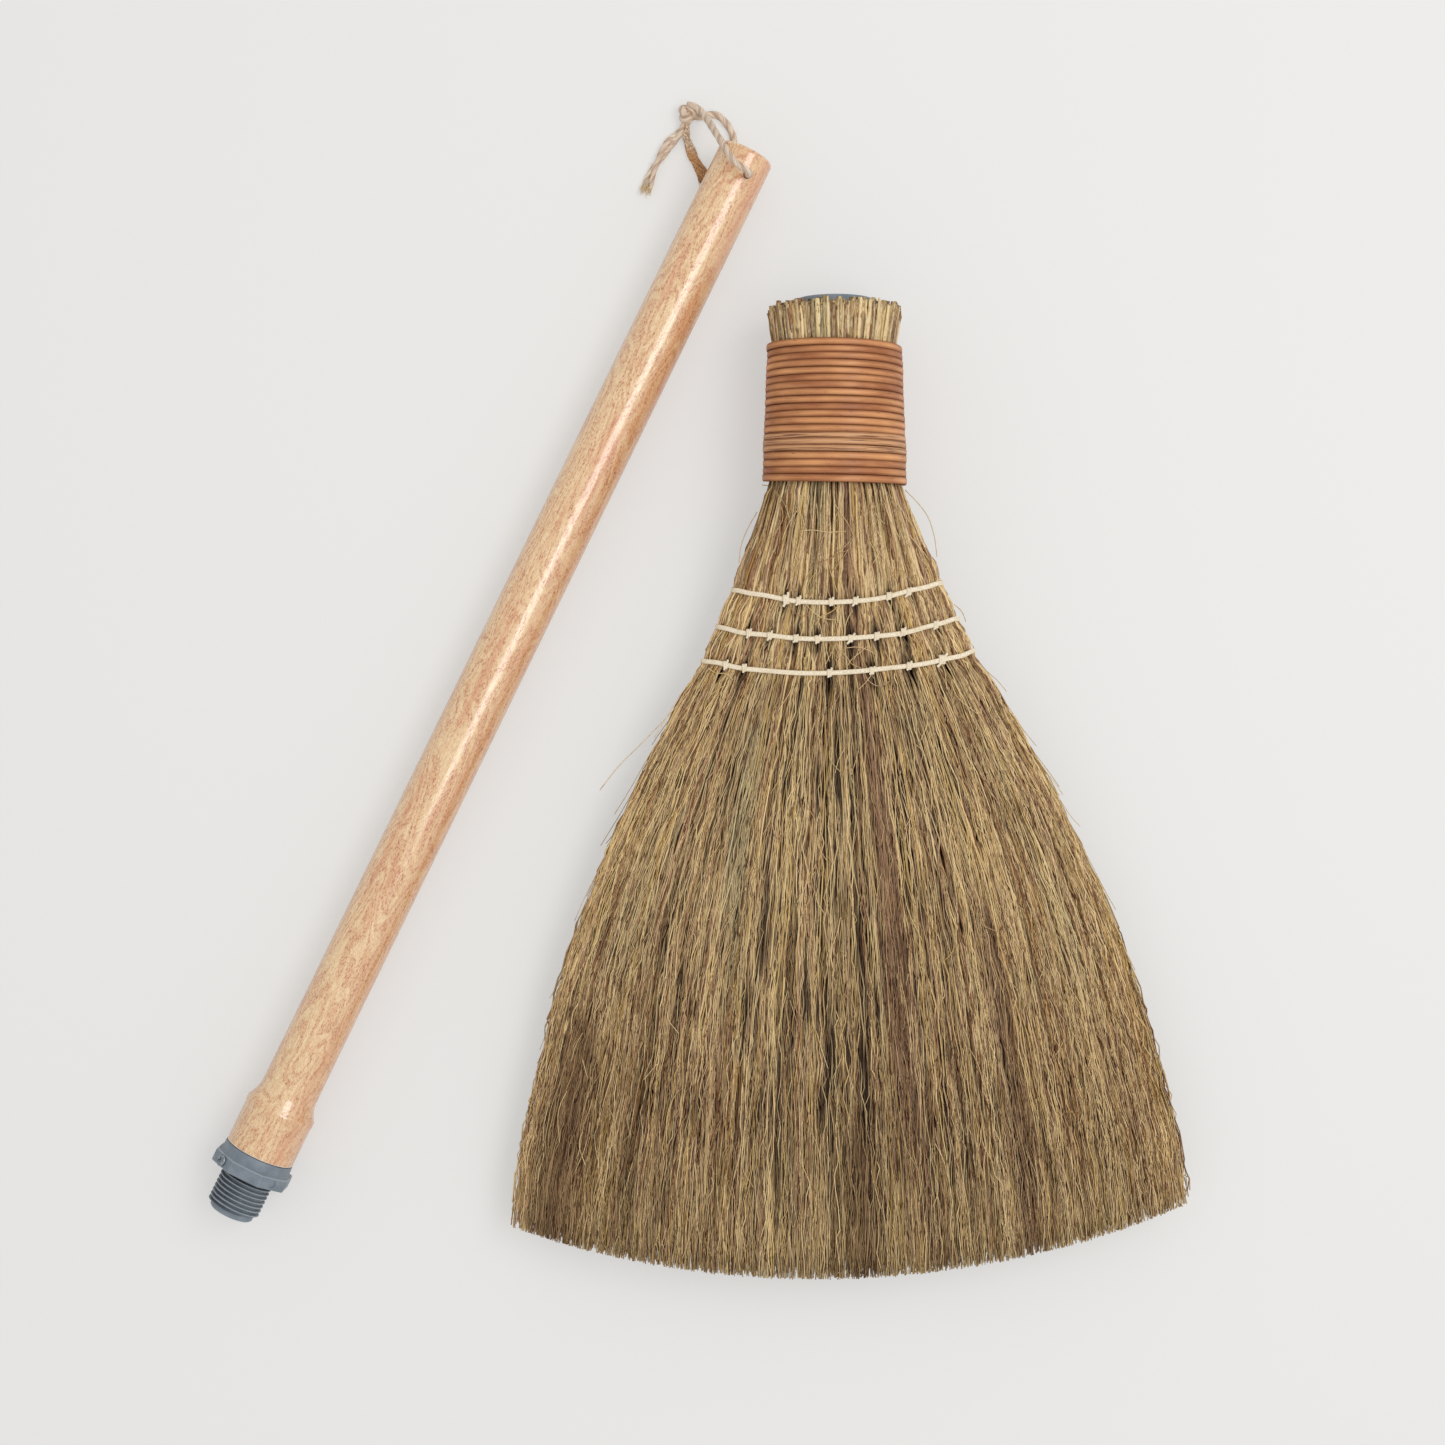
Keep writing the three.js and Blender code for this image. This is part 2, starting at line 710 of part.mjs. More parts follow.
// The helix starts and ends under the neck, so the first crossing on the upper side is half a turn in.
function helixDepth(turns) {
  const upper = Math.min(turns, turnsBeforeSplice) * cane.upperPitch;
  const splice = clamp(turns - turnsBeforeSplice, 0, cane.spliceTurns) * cane.splicePitch;
  const lower = Math.max(turns - turnsOfFirstCane, 0) * cane.lowerPitch;
  return cane.startDepth - cane.upperPitch / 2 + upper + splice + lower;
}

// Half round: a flat inner face and a rounded outer one, as shares of the cane's thickness and width
const caneSectionShares = [
  [-0.5, -0.5],
  [-0.5, 0.5],
  [0.2, 0.42],
  [0.5, 0],
  [0.2, -0.42],
];

function caneRing(turns, startTurns, endTurns) {
  const onSplice = turns > turnsBeforeSplice && turns <= turnsOfFirstCane;
  const rise = onSplice ? cane.spliceRise : 0;
  let width = cane.width;
  if (onSplice) width = cane.spliceWidth;
  if (turns > turnsOfFirstCane) width = cane.lowerWidth;
  // Past its end the cane runs straight on.
  const turn = clamp(turns, startTurns, endTurns);
  const angle = turn * FULL_TURN - QUARTER_TURN;
  const depth = helixDepth(turn);
  const out = vector(Math.cos(angle), 0, Math.sin(angle));
  const forward = vector(-Math.sin(angle), 0, Math.cos(angle));
  const straightOn = (turns - turn) * FULL_TURN * caneRadius(depth);
  const middleRadius = caneRadius(depth) - cane.thickness / 2 + rise;
  return caneSectionShares.map(([thick, wide]) => {
    const point = out.clone().multiplyScalar(middleRadius + thick * cane.thickness);
    point.addScaledVector(forward, straightOn);
    point.y = wide * width - depth;
    point.z = Math.max(point.z, -neckAxisHeight);
    return point;
  });
}

function woundCane(startTurns, endTurns) {
  const steps = Math.round((endTurns - startTurns) * CANE_STEPS_PER_TURN);
  const straight = cane.width / (FULL_TURN * neck.bottomRadius);
  const stops = [startTurns - straight];
  for (let step = 0; step <= steps; step++) stops.push(lerp(startTurns, endTurns, step / steps));
  stops.push(endTurns + straight);
  const rings = stops.map((turns) => caneRing(turns, startTurns, endTurns));
  console.log("least gap between turns of a cane: " + leastGap(rings).toFixed(2) + " mm");
  return skin(rings);
}

function leastGap(rings) {
  let least = Infinity;
  rings.slice(1, -1 - CANE_STEPS_PER_TURN).forEach((ring, i) => {
    const nextTurn = rings[1 + i + CANE_STEPS_PER_TURN];
    for (const point of ring) {
      for (const neighbour of nextTurn) least = Math.min(least, point.distanceTo(neighbour));
    }
  });
  return least;
}

// The sewn rows: a flat cord round the straw, with a tie through the gap between bundles at each knot

const ROW_STATIONS = 20;
const tiesInRows = [
  [3, 4, 6, 7, 9, 10],
  [2, 3, 4, 5, 7, 8, 9, 11],
  [1, 2, 6, 8, 9, 10],
];

function rowSection(depth, angle, standoff) {
  const power = 2 / squareness(depth);
  const around = (value) => Math.sign(value) * Math.abs(value) ** power;
  const x = (halfWidth(depth) + standoff) * around(Math.cos(angle));
  const z = (halfThickness(depth) + standoff) * around(Math.sin(angle));
  return inHead(depth, x, z);
}

function rowBand(depth) {
  const inner = rows.cordGap;
  const outer = inner + rows.cordThickness;
  const rings = [];
  for (let station = 0; station < ROW_STATIONS; station++) {
    const angle = (station / ROW_STATIONS) * FULL_TURN;
    rings.push(
      [[inner, -1], [inner, 1], [outer, 1], [outer, -1]].map(([standoff, side]) => {
        return rowSection(depth + (side * rows.cordWidth) / 2, angle, standoff);
      }),
    );
  }
  return skin(rings, { joined: true });
}

function tieAt(depth, gapIndex) {
  const x = halfWidth(depth) * ((2 * gapIndex) / BUNDLES - 1);
  const side = Math.min(Math.abs(x) / halfWidth(depth), 1);
  const height = halfThickness(depth) * (1 - side ** SQUARENESS_AT_ROWS) ** (1 / SQUARENESS_AT_ROWS);
  const top = height + rows.cordGap + rows.cordThickness / 2;
  const tie = new THREE.BoxGeometry(rows.tieThickness, rows.tieHeight, 2 * top);
  const middle = inHead(depth, x, 0);
  const lump = new THREE.OctahedronGeometry(rows.knotRadius);
  const front = solidOf(lump.translate(middle.x, middle.y, middle.z + top));
  return solidOf(tie.translate(middle.x, middle.y, middle.z)).add(front);
}

function sewnRow(row) {
  const depth = rowDepths[row];
  let solid = solidOf(rowBand(depth));
  for (const gapIndex of tiesInRows[row]) solid = solid.add(tieAt(depth, gapIndex));
  return geometryOf(solid);
}

// The free straw: strands of three sides that stand on a triangular lattice in the backing's lower face

const backingTop = bundleEnd + seatGap;
const backingBottom = backingTop + fan.backing;
const strandMiddle = lerp(backingBottom, fan.length, 0.45);

// A place across and through the fan, both from -1 to 1
function fanPoint(depth, across, through) {
  const edge = 1 - (1 - EDGE_THICKNESS_SHARE) * across ** 4;
  return inHead(depth, across * halfWidth(depth), through * halfThickness(depth) * edge);
}

// A steady scatter from -1 to 1
const scatter = (index) => 2 * ((Math.abs(Math.sin(index * 12.9898) * 43758.5453)) % 1) - 1;

function bristleFan(node) {
  const inset = seatGap / 2 / halfWidth(backingBottom);
  const left = lerp(-1, 1, node / FAN_NODES) + inset;
  const right = lerp(-1, 1, (node + 1) / FAN_NODES) - inset;
  const points = [];
  const triangles = [];
  const add = (point) => points.push(point) - 1;
  const across = (share) => lerp(left, right, share / STRANDS_ACROSS);

  // Even lines of the lattice hold the strands' edges, and odd lines their corners and the two sides.
  const lines = [];
  for (let line = 0; line <= STRAND_LAYERS; line++) {
    const places = [];
    if (line % 2 === 0) for (let i = 0; i <= STRANDS_ACROSS; i++) places.push(i);
    else places.push(0, ...Array.from({ length: STRANDS_ACROSS }, (_, i) => i + 0.5), STRANDS_ACROSS);
    lines.push(
      places.map((share) => {
        const through = (2 * line) / STRAND_LAYERS - 1;
        return { share, through, index: add(fanPoint(backingBottom, across(share), through)) };
      }),
    );
  }
  for (let layer = 0; layer < STRAND_LAYERS; layer++) {
    const edges = lines[layer % 2 === 0 ? layer : layer + 1];
    const corners = lines[layer % 2 === 0 ? layer + 1 : layer];
    const order = layer % 2 === 0 ? (a, b, c) => [a, b, c] : (a, b, c) => [b, a, c];
    for (let i = 0; i < STRANDS_ACROSS; i++) {
      const root = order(edges[i], edges[i + 1], corners[i + 1]);
      addStrand(points, triangles, root, { layer, i, node, across });
    }
    for (let i = 0; i <= STRANDS_ACROSS; i++) {
      triangles.push(...order(edges[i], corners[i + 1], corners[i]).map((p) => p.index));
    }
  }

  // The upper face is coarser: straight strips join the two rims.
  const upperFace = [-1, 1].map((through) => {
    return Array.from({ length: BACKING_STRIPS + 1 }, (_, i) => {
      const share = (i / BACKING_STRIPS) * STRANDS_ACROSS;
      return { share, index: add(fanPoint(backingTop, across(share), through)) };
    });
  });
  zip(triangles, upperFace[0], lines[0]);
  zip(triangles, lines.at(-1), upperFace[1]);
  zip(triangles, upperFace[1], upperFace[0]);
  const endOf = (chains, place) => chains.map((chain) => chain.at(place).index);
  sideWall(triangles, endOf(lines, 0).reverse(), endOf(upperFace, 0));
  sideWall(triangles, endOf(lines, -1), endOf(upperFace, -1).reverse());
  return meshOf(points, triangles);
}

// The strip of triangles between two rows of points, each with its share of the way along
function zip(triangles, near, far) {
  let a = 0;
  let b = 0;
  while (a < near.length - 1 || b < far.length - 1) {
    const farIsDone = b === far.length - 1;
    const nearIsNext = a < near.length - 1 && (farIsDone || near[a + 1].share <= far[b + 1].share);
    const [here, across] = [near[a].index, far[b].index];
    if (nearIsNext) a++;
    else b++;
    triangles.push(here, nearIsNext ? near[a].index : far[b].index, across);
  }
}

// A side wall of the backing: a fan from one upper corner over the lower edge
function sideWall(triangles, lowerEdge, [last, first]) {
  for (let i = 0; i < lowerEdge.length - 1; i++) triangles.push(first, lowerEdge[i + 1], lowerEdge[i]);
  triangles.push(first, last, lowerEdge.at(-1));
}

// One strand: from its three lattice points through a middle section to a ragged tip
function addStrand(points, triangles, root, { layer, i, node, across }) {
  const centreShare = (root[0].share + root[1].share + root[2].share) / 3;
  const through = (root[0].through + root[1].through + root[2].through) / 3;
  const place = across(centreShare);
  const edge = 1 - (1 - EDGE_THICKNESS_SHARE) * place ** 4;
  const length = fan.length - (fan.raggedness * (1 + scatter(1 + i + 31 * layer + 173 * node))) / 2;
  const section = (depth, width, height) => {
    const middle = fanPoint(depth, place, through);
    return root.map((corner) => {
      const x = middle.x + (corner.share - centreShare) * width;
      const z = middle.z + (corner.through - through) * (STRAND_LAYERS / 2) * height * edge;
      return points.push(vector(x, middle.y, Math.max(z, -neckAxisHeight))) - 1;
    });
  };
  const rings = [
    root.map((corner) => corner.index),
    section(strandMiddle, fan.midWidth, fan.midHeight),
    section(length, fan.tipWidth, fan.tipHeight),
  ];
  for (let ring = 0; ring < rings.length - 1; ring++) {
    for (let side = 0; side < 3; side++) {
      const after = (side + 1) % 3;
      const [a, b] = [rings[ring][side], rings[ring][after]];
      const [c, d] = [rings[ring + 1][after], rings[ring + 1][side]];
      triangles.push(a, b, c, a, c, d);
    }
  }
  triangles.push(...rings.at(-1));
}

function socketFitting() {
  const bottom = -socket.length;
  const threadBottom = -thread.femaleLength;
  const outer = [
    [0, bottom],
    [socket.radius, bottom],
    [socket.radius, -socket.rimChamfer],
    [socket.radius - socket.rimChamfer, 0],
    [0, 0],
  ];
  const pipeEnd = [
    [0, bottom - cutOverrun],
    [socket.pipeBore, bottom - cutOverrun],
    [socket.pipeBore, threadBottom - socket.floorThickness],
    [0, threadBottom - socket.floorThickness],
  ];
  const collarRadius = thread.collarRadius + seatGap;
  const collarRecess = [
    [0, -thread.collarLength - seatGap],
    [collarRadius, -thread.collarLength - seatGap],
    [collarRadius, cutOverrun],
    [0, cutOverrun],
  ];
  const tool = solidOf(threadedRod(threadBottom, cutOverrun, thread.fit)).add(solidOf(turned(collarRecess)));
  return geometryOf(solidOf(turned(outer)).subtract(tool).subtract(solidOf(turned(pipeEnd))));
}

const twoDigits = (number) => String(number).padStart(2, "0");

function headGroup() {
  const group = new THREE.Group();
  group.add(piece("socket_fitting", socketFitting(), finishes.plastic));
  for (let i = 0; i < BUNDLES; i++) {
    group.add(piece("straw_bundle_" + twoDigits(i + 1), strawBundle(i), finishes.stalk));
  }
  const cutShare = (cane.width + seatGap) / (FULL_TURN * neck.bottomRadius);
  group.add(
    piece("rattan_wrap_upper", woundCane(0, turnsOfFirstCane - cutShare), finishes.rattan),
    piece("rattan_wrap_lower", woundCane(turnsOfFirstCane + cutShare, allTurns), finishes.rattan),
  );
  for (let row = 0; row < rowDepths.length; row++) {
    group.add(piece("stitch_row_" + (row + 1), sewnRow(row), finishes.sewing));
  }
  for (let node = 0; node < FAN_NODES; node++) {
    group.add(piece("bristle_fan_" + (node + 1), bristleFan(node), finishes.straw));
  }
  group.position.set(layout.headX, layout.rimY, neckAxisHeight);
  return group;
}

const broom = new THREE.Group();
broom.add(headGroup(), handleGroup());

export default broom;
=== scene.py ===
"""The straw broom taken apart on a table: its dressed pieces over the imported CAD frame.

Lengths are in millimetres and become metres as a mesh is made. Only the light's measures and the
camera's range are written in metres.
"""

import math
from contextlib import contextmanager

import bpy
import numpy as np
from mathutils import Matrix, Vector


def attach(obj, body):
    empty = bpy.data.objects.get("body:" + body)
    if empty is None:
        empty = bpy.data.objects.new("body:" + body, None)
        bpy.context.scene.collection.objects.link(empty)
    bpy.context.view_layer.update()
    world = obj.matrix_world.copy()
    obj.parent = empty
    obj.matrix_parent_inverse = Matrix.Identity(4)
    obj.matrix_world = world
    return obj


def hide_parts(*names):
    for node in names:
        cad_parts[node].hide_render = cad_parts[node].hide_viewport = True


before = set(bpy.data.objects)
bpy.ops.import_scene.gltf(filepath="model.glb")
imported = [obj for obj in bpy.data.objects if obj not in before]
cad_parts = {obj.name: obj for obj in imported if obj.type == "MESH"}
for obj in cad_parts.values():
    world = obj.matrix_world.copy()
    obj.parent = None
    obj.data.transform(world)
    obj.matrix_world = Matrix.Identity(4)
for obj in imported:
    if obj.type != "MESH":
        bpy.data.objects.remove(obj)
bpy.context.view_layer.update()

MM = 0.001
TURN = 2 * math.pi
chance = np.random.default_rng(7)

# The photograph: a camera a metre above the table, which looks straight down
CAMERA_PLACE = np.array((7.65, -6.6, 1000.0))
HALF_VIEW = 0.289
PHOTO_PIXELS = 1445

# Where the head's socket rim and the handle's nut lie
HEAD_PLACE = np.array((51.2, 157.6, 27.98))
HANDLE_PLACE = np.array((-178.65, -184.2, 15.25))
HANDLE_ANGLE = math.radians(-26)

# The head, in depths from the socket's rim towards the tips
BUNDLES = 12
RING_ORDER = np.radians([180, 150, -150, 120, -120, 90, -90, 60, -60, 30, -30, 0])
SOCKET_RADIUS = 15.6
SOCKET_LENGTH = 34
STUB_DEPTH = 3.5
STUB_RADIUS = 26
CANE_TOP = 17.83
CANE_START = 20.5
CANE_INSET = 2.65
NECK_TOP_RADIUS = 26.45
NECK_BOTTOM_RADIUS = 28.2
NECK_BOTTOM = 72.7
NECK_SWELL = 1.8
SWELL_END = 77
ROW_DEPTHS = (117.7, 132, 145)
ROW_HALF_THICKNESS = 12.2
ROW_WAIST = 0.9
PINCH_REACH = 4.2
# Where the ties lie, in shares of the half width
TIES = (
    (-0.5, -0.38, -0.065, 0.17, 0.494, 0.69),
    (-0.75, -0.575, -0.356, -0.178, 0.1, 0.32, 0.54, 0.818),
    (-0.84, -0.7, -0.072, 0.242, 0.518, 0.765),
)
LOOSE_DEPTH = 200
FAN_LENGTH = 379.5
FAN_HALF_THICKNESS = 14
BOW_AT_ROWS = 6.5
BOW_AT_TIPS = 22.5
TIP_DRIFT = 6.5
TIP_AXIS_HEIGHT = 13.5
STRAW_SKEW = 0.034
TABLE_GAP = 0.25
# Pairs of depth and half width below the neck, read from the photograph's outline
OUTLINE = (
    ((72.7, 25.55), (75.5, 27.3), (80, 28.7), (88, 31), (97, 33.6), (107, 37.2), (117.7, 40.8))
    + ((127, 44.8), (132, 47.2), (140.5, 51), (145, 53.2), (152, 57), (158, 60.6), (171, 67))
    + ((184, 73.8), (204, 83.4), (226, 92.8), (249, 101.4), (273, 109), (302, 116.2))
    + ((329, 122.4), (353, 127.6), (379.5, 130.5))
)


# Small sums


def share(value, low, high):
    return np.clip((value - low) / (high - low), 0, 1)


def smooth(value, low, high):
    part = share(value, low, high)
    return part * part * (3 - 2 * part)


def lerp(start, end, part):
    return start + (end - start) * part


def hump(value, middle, half):
    return np.exp(-(((value - middle) / half) ** 2))


def unit(vectors):
    return vectors / np.linalg.norm(vectors, axis=-1, keepdims=True)


def signed_power(value, power):
    return np.sign(value) * np.abs(value) ** power


def step_lengths(points):
    return np.linalg.norm(np.diff(points, axis=0), axis=1)


def square_to(vectors, ahead):
    """Unit vectors without their parts along the directions ahead"""
    return unit(vectors - ahead * np.sum(vectors * ahead, axis=1, keepdims=True))


def xyz(x, y, z):
    return np.stack(np.broadcast_arrays(x, y, z), axis=-1)


def around_ring(count):
    """Angles evenly round a ring"""
    return np.arange(count) / count * TURN


def side_angles(sides):
    """Angles round a tube, of which the first points up"""
    return (np.arange(sides) / sides + 0.25) * TURN


# The straw's outline at each depth


def near_row(depth):
    """1 on a sewn row and 0 beyond its reach"""
    nearest = np.min([np.abs(depth - row) for row in ROW_DEPTHS], axis=0)
    return np.clip(1 - nearest / PINCH_REACH, 0, 1)


def flattened(depth):
    """0 at the round neck and 1 from the first sewn row on"""
    return smooth(depth, NECK_BOTTOM, ROW_DEPTHS[0])


def half_width(depth):
    top = NECK_TOP_RADIUS - CANE_INSET
    bottom = NECK_BOTTOM_RADIUS - CANE_INSET
    stubs = lerp(STUB_RADIUS, top, share(depth, STUB_DEPTH, CANE_TOP))
    wound = lerp(top, bottom, share(depth, CANE_START, NECK_BOTTOM))
    loose = np.interp(depth, *np.transpose(OUTLINE)) - ROW_WAIST * near_row(depth)
    return np.select([depth <= CANE_TOP, depth <= NECK_BOTTOM], [stubs, wound], loose)


def half_thickness(depth):
    bottom = NECK_BOTTOM_RADIUS - CANE_INSET
    swollen = bottom + NECK_SWELL * share(depth, NECK_BOTTOM, SWELL_END)
    flattening = lerp(swollen, ROW_HALF_THICKNESS, flattened(depth))
    opened = share(depth, ROW_DEPTHS[2], FAN_LENGTH)
    free = lerp(ROW_HALF_THICKNESS, FAN_HALF_THICKNESS, opened)
    flat = np.where(depth <= ROW_DEPTHS[0], flattening, free) - ROW_WAIST * near_row(depth)
    return np.where(depth <= NECK_BOTTOM, half_width(depth), flat)


def bow(depth):
    """How much nearer to the rim the sides lie than the middle"""
    free = lerp(BOW_AT_ROWS, BOW_AT_TIPS, share(depth, ROW_DEPTHS[2], FAN_LENGTH))
    return np.where(depth <= ROW_DEPTHS[2], BOW_AT_ROWS * flattened(depth), free)


def drift(depth):
    return TIP_DRIFT * share(depth, NECK_BOTTOM, FAN_LENGTH)


def sag(depth):
    """How the section's middle comes down from the neck's height"""
    eased = 1 - (1 - share(depth, NECK_BOTTOM, FAN_LENGTH)) ** 2
    return (TIP_AXIS_HEIGHT - HEAD_PLACE[2]) * eased


def in_head(depth, x, z):
    """Points of the straw: x and z are from the middle of the section at that depth."""
    y = bow(depth) * (x / half_width(depth)) ** 2 + STRAW_SKEW * flattened(depth) * x - depth
    height = np.maximum(z + sag(depth), TABLE_GAP - HEAD_PLACE[2])
    return xyz(x + drift(depth), y, height) + HEAD_PLACE


def edge_height(across, depth):
    """How far the section's height shrinks towards its sides"""
    sewn = (1 - np.minimum(np.abs(across), 0.995) ** 3) ** (1 / 3)
    free = 1 - 0.5 * np.abs(across) ** 4
    return lerp(sewn, free, smooth(depth, ROW_DEPTHS[2], LOOSE_DEPTH))


def surface_height(across, depth):
    """The surface's height over the middle of the section"""
    round_height = np.sqrt(np.maximum(1 - across**2, 0))
    side = lerp(round_height, edge_height(across, depth), flattened(depth))
    return half_thickness(depth) * side


def photo_point(across, down, height):
    """The place over the table, at that height, that shows at a pixel of the photograph"""
    scale = 2 * HALF_VIEW * (CAMERA_PLACE[2] - height) / PHOTO_PIXELS
    half = PHOTO_PIXELS / 2
    x = CAMERA_PLACE[0] + (across - half) * scale
    return np.array((x, CAMERA_PLACE[1] + (half - down) * scale, height))


def on_straw(across, down, lift):
    """The place on the straw's upper side that shows at a pixel of the photograph"""
    height = 2 * HEAD_PLACE[2]
    depth = 100.0
    for _ in range(12):
        place = photo_point(across, down, height)
        x = place[0] - HEAD_PLACE[0] - drift(depth)
        wide = x / half_width(depth)
        skew = STRAW_SKEW * flattened(depth)
        depth = HEAD_PLACE[1] - place[1] + bow(depth) * wide**2 + skew * x
        height = in_head(depth, x, surface_height(wide, depth))[2] + lift
    return photo_point(across, down, height)


# Meshes


def mesh_piece(name, points, faces, edges=()):
    mesh = bpy.data.meshes.new(name)
    mesh.from_pydata((np.reshape(points, (-1, 3)) * MM).tolist(), list(edges), faces)
    mesh.update()
    piece = bpy.data.objects.new(name, mesh)
    bpy.context.collection.objects.link(piece)
    return piece


def select_only(*chosen):
    bpy.ops.object.select_all(action="DESELECT")
    for piece in chosen:
        piece.select_set(True)
    bpy.context.view_layer.objects.active = chosen[0]


@contextmanager
def editing(piece):
    select_only(piece)
    bpy.ops.object.mode_set(mode="EDIT")
    bpy.ops.mesh.select_all(action="SELECT")
    yield
    bpy.ops.object.mode_set(mode="OBJECT")


def face_outwards(piece):
    with editing(piece):
        bpy.ops.mesh.normals_make_consistent(inside=False)


def joined(name, *parts):
    select_only(*parts)
    bpy.ops.object.join()
    parts[0].name = name
    return parts[0]


def apply_modifier(piece, kind, **settings):
    modifier = piece.modifiers.new(kind.lower(), kind)
    for key, value in settings.items():
        setattr(modifier, key, value)
    select_only(piece)
    bpy.ops.object.modifier_apply(modifier=modifier.name)


def cut(piece, tool):
    apply_modifier(piece, "BOOLEAN", operation="DIFFERENCE", object=tool, solver="EXACT")
    bpy.data.objects.remove(tool)


def smooth_sides(piece, sharpest):
    """Smooth shading, except over edges sharper than an angle in degrees"""
    piece.data.shade_smooth()
    piece.data.set_sharp_from_angle(angle=math.radians(sharpest))


def turned(name, outline, steps=96):
    """An outline of (radius, y) turned about the Y axis. It is closed if it starts off the axis."""
    points = [(radius, y, 0) for radius, y in outline]
    edges = [(i, i + 1) for i in range(len(points) - 1)]
    if outline[0][0] > 0:
        edges.append((len(points) - 1, 0))
    piece = mesh_piece(name, points, [], edges)
    with editing(piece):
        bpy.ops.mesh.spin(steps=steps, angle=TURN, center=(0, 0, 0), axis=(0, 1, 0))
        bpy.ops.mesh.remove_doubles(threshold=0.005 * MM)
        bpy.ops.mesh.normals_make_consistent(inside=False)
    return piece


def drill(radius, length, place, direction, sides=32):
    """A cutting tool: a round bar through a place"""
    turn = Vector(direction).to_track_quat("Z", "Y").to_matrix().to_4x4()
    bpy.ops.mesh.primitive_cylinder_add(vertices=sides, radius=radius * MM, depth=length * MM)
    tool = bpy.context.active_object
    tool.data.transform(Matrix.Translation(Vector(place) * MM) @ turn)
    return tool


def tube_faces(tubes, levels, sides, closed=False):
    """Faces of many tubes whose points run by tube, level and side"""
    ring = np.arange(sides)
    after = (ring + 1) % sides
    spans = np.arange(levels if closed else levels - 1)
    here = spans[:, None] * sides
    further = ((spans + 1) % levels)[:, None] * sides
    quads = np.stack([here + ring, here + after, further + after, further + ring], axis=-1)
    offsets = np.arange(tubes)[:, None, None] * levels * sides
    faces = (quads.reshape(-1, 4) + offsets).reshape(-1, 4).tolist()
    if not closed:
        caps = np.stack([ring[::-1], ring + (levels - 1) * sides])
        faces += (caps + offsets).reshape(-1, sides).tolist()
    return faces


def ring_points(lines, widths, heights, sides, up=(0, 0, 1)):
    """Rings round lines of (tubes, levels, 3). Widths lie across a line and heights point up."""
    ahead = unit(np.gradient(lines, axis=1))
    side = unit(np.cross(np.broadcast_to(up, lines.shape), ahead))
    top = np.cross(ahead, side)
    angles = side_angles(sides)
    across = side[:, :, None] * (widths[..., None] * np.cos(angles))[..., None]
    upward = top[:, :, None] * (heights[..., None] * np.sin(angles))[..., None]
    return lines[:, :, None] + across + upward


def tube_piece(name, rings):
    """A mesh over many tubes: rings are (tubes, levels, sides, 3)."""
    return mesh_piece(name, rings, tube_faces(*rings.shape[:3]))


def sweep(name, path, sections, closed=False):
    """A mesh over sections of (side, up) points carried along a path without twist"""
    path = np.asarray(path, float)
    steps = np.roll(path, -1, 0) - np.roll(path, 1, 0) if closed else np.gradient(path, axis=0)
    ahead = unit(steps)
    side = np.cross(ahead[0], (0.13, 0.21, 0.97))
    sides = []
    for direction in ahead:
        side = unit(side - direction * side.dot(direction))
        sides.append(side)
    sides = np.array(sides)
    if closed:
        # The frame comes back turned by some angle, which is spread over the path.
        last = unit(sides[-1] - ahead[0] * sides[-1].dot(ahead[0]))
        miss = math.atan2(np.cross(sides[0], last).dot(ahead[0]), sides[0].dot(last))
        turn = -miss * np.arange(len(path)) / len(path)
        ups = np.cross(ahead, sides)
        sides = sides * np.cos(turn)[:, None] + ups * np.sin(turn)[:, None]
    ups = np.cross(ahead, sides)
    sections = np.broadcast_to(sections, (len(path), *np.shape(sections)[-2:]))
    rings = path[:, None] + sides[:, None] * sections[..., :1] + ups[:, None] * sections[..., 1:]
    rings[..., 2] = np.maximum(rings[..., 2], 0.06)
    return skin(name, rings, closed)


def skin(name, rings, closed=False):
    """A mesh over rings of points, (rings, sides, 3).

    Its UV map holds the millimetres along the rings and the share of the way round them.
    """
    levels, sides = rings.shape[:2]
    piece = mesh_piece(name, rings, tube_faces(1, levels, sides, closed))
    steps = step_lengths(rings.mean(axis=1))
    lengths = np.concatenate([[0], np.cumsum(steps), [steps.sum() + steps[-1]]])
    spans = levels if closed else levels - 1
    level, start = np.meshgrid(np.arange(spans), np.arange(sides), indexing="ij")
    along = lengths[np.stack([level, level, level + 1, level + 1], axis=-1)]
    around = np.stack([start, start + 1, start + 1, start], axis=-1) / sides
    corners = np.stack([along, around], axis=-1).reshape(-1, 2)
    if not closed:
        ends = np.repeat([[lengths[0], 0.5], [lengths[levels - 1], 0.5]], sides, axis=0)
        corners = np.concatenate([corners, ends])
    piece.data.uv_layers.new(name="UVMap").data.foreach_set("uv", corners.ravel())
    return piece


def smooth_route(points, step):
    """A smooth line through given points, with a point at every step along it"""
    points = np.asarray(points, float)
    knots = np.concatenate([[0], np.cumsum(step_lengths(points))])
    slopes = np.gradient(points, knots, axis=0)
    at = np.linspace(0, knots[-1], round(knots[-1] / step) + 1)
    i = np.clip(np.searchsorted(knots, at, "right") - 1, 0, len(points) - 2)
    span = (knots[i + 1] - knots[i])[:, None]
    t = (at[:, None] - knots[i][:, None]) / span
    start = (2 * t**3 - 3 * t**2 + 1) * points[i] + (t**3 - 2 * t**2 + t) * span * slopes[i]
    return start + (3 * t**2 - 2 * t**3) * points[i + 1] + (t**3 - t**2) * span * slopes[i + 1]


def give_colours(piece, name, colours):
    """Four numbers for each point, kept as an attribute for the piece's material"""
    attribute = piece.data.attributes.new(name, "FLOAT_COLOR", "POINT")
    attribute.data.foreach_set("color", np.asarray(colours, np.float32).ravel())


# Materials


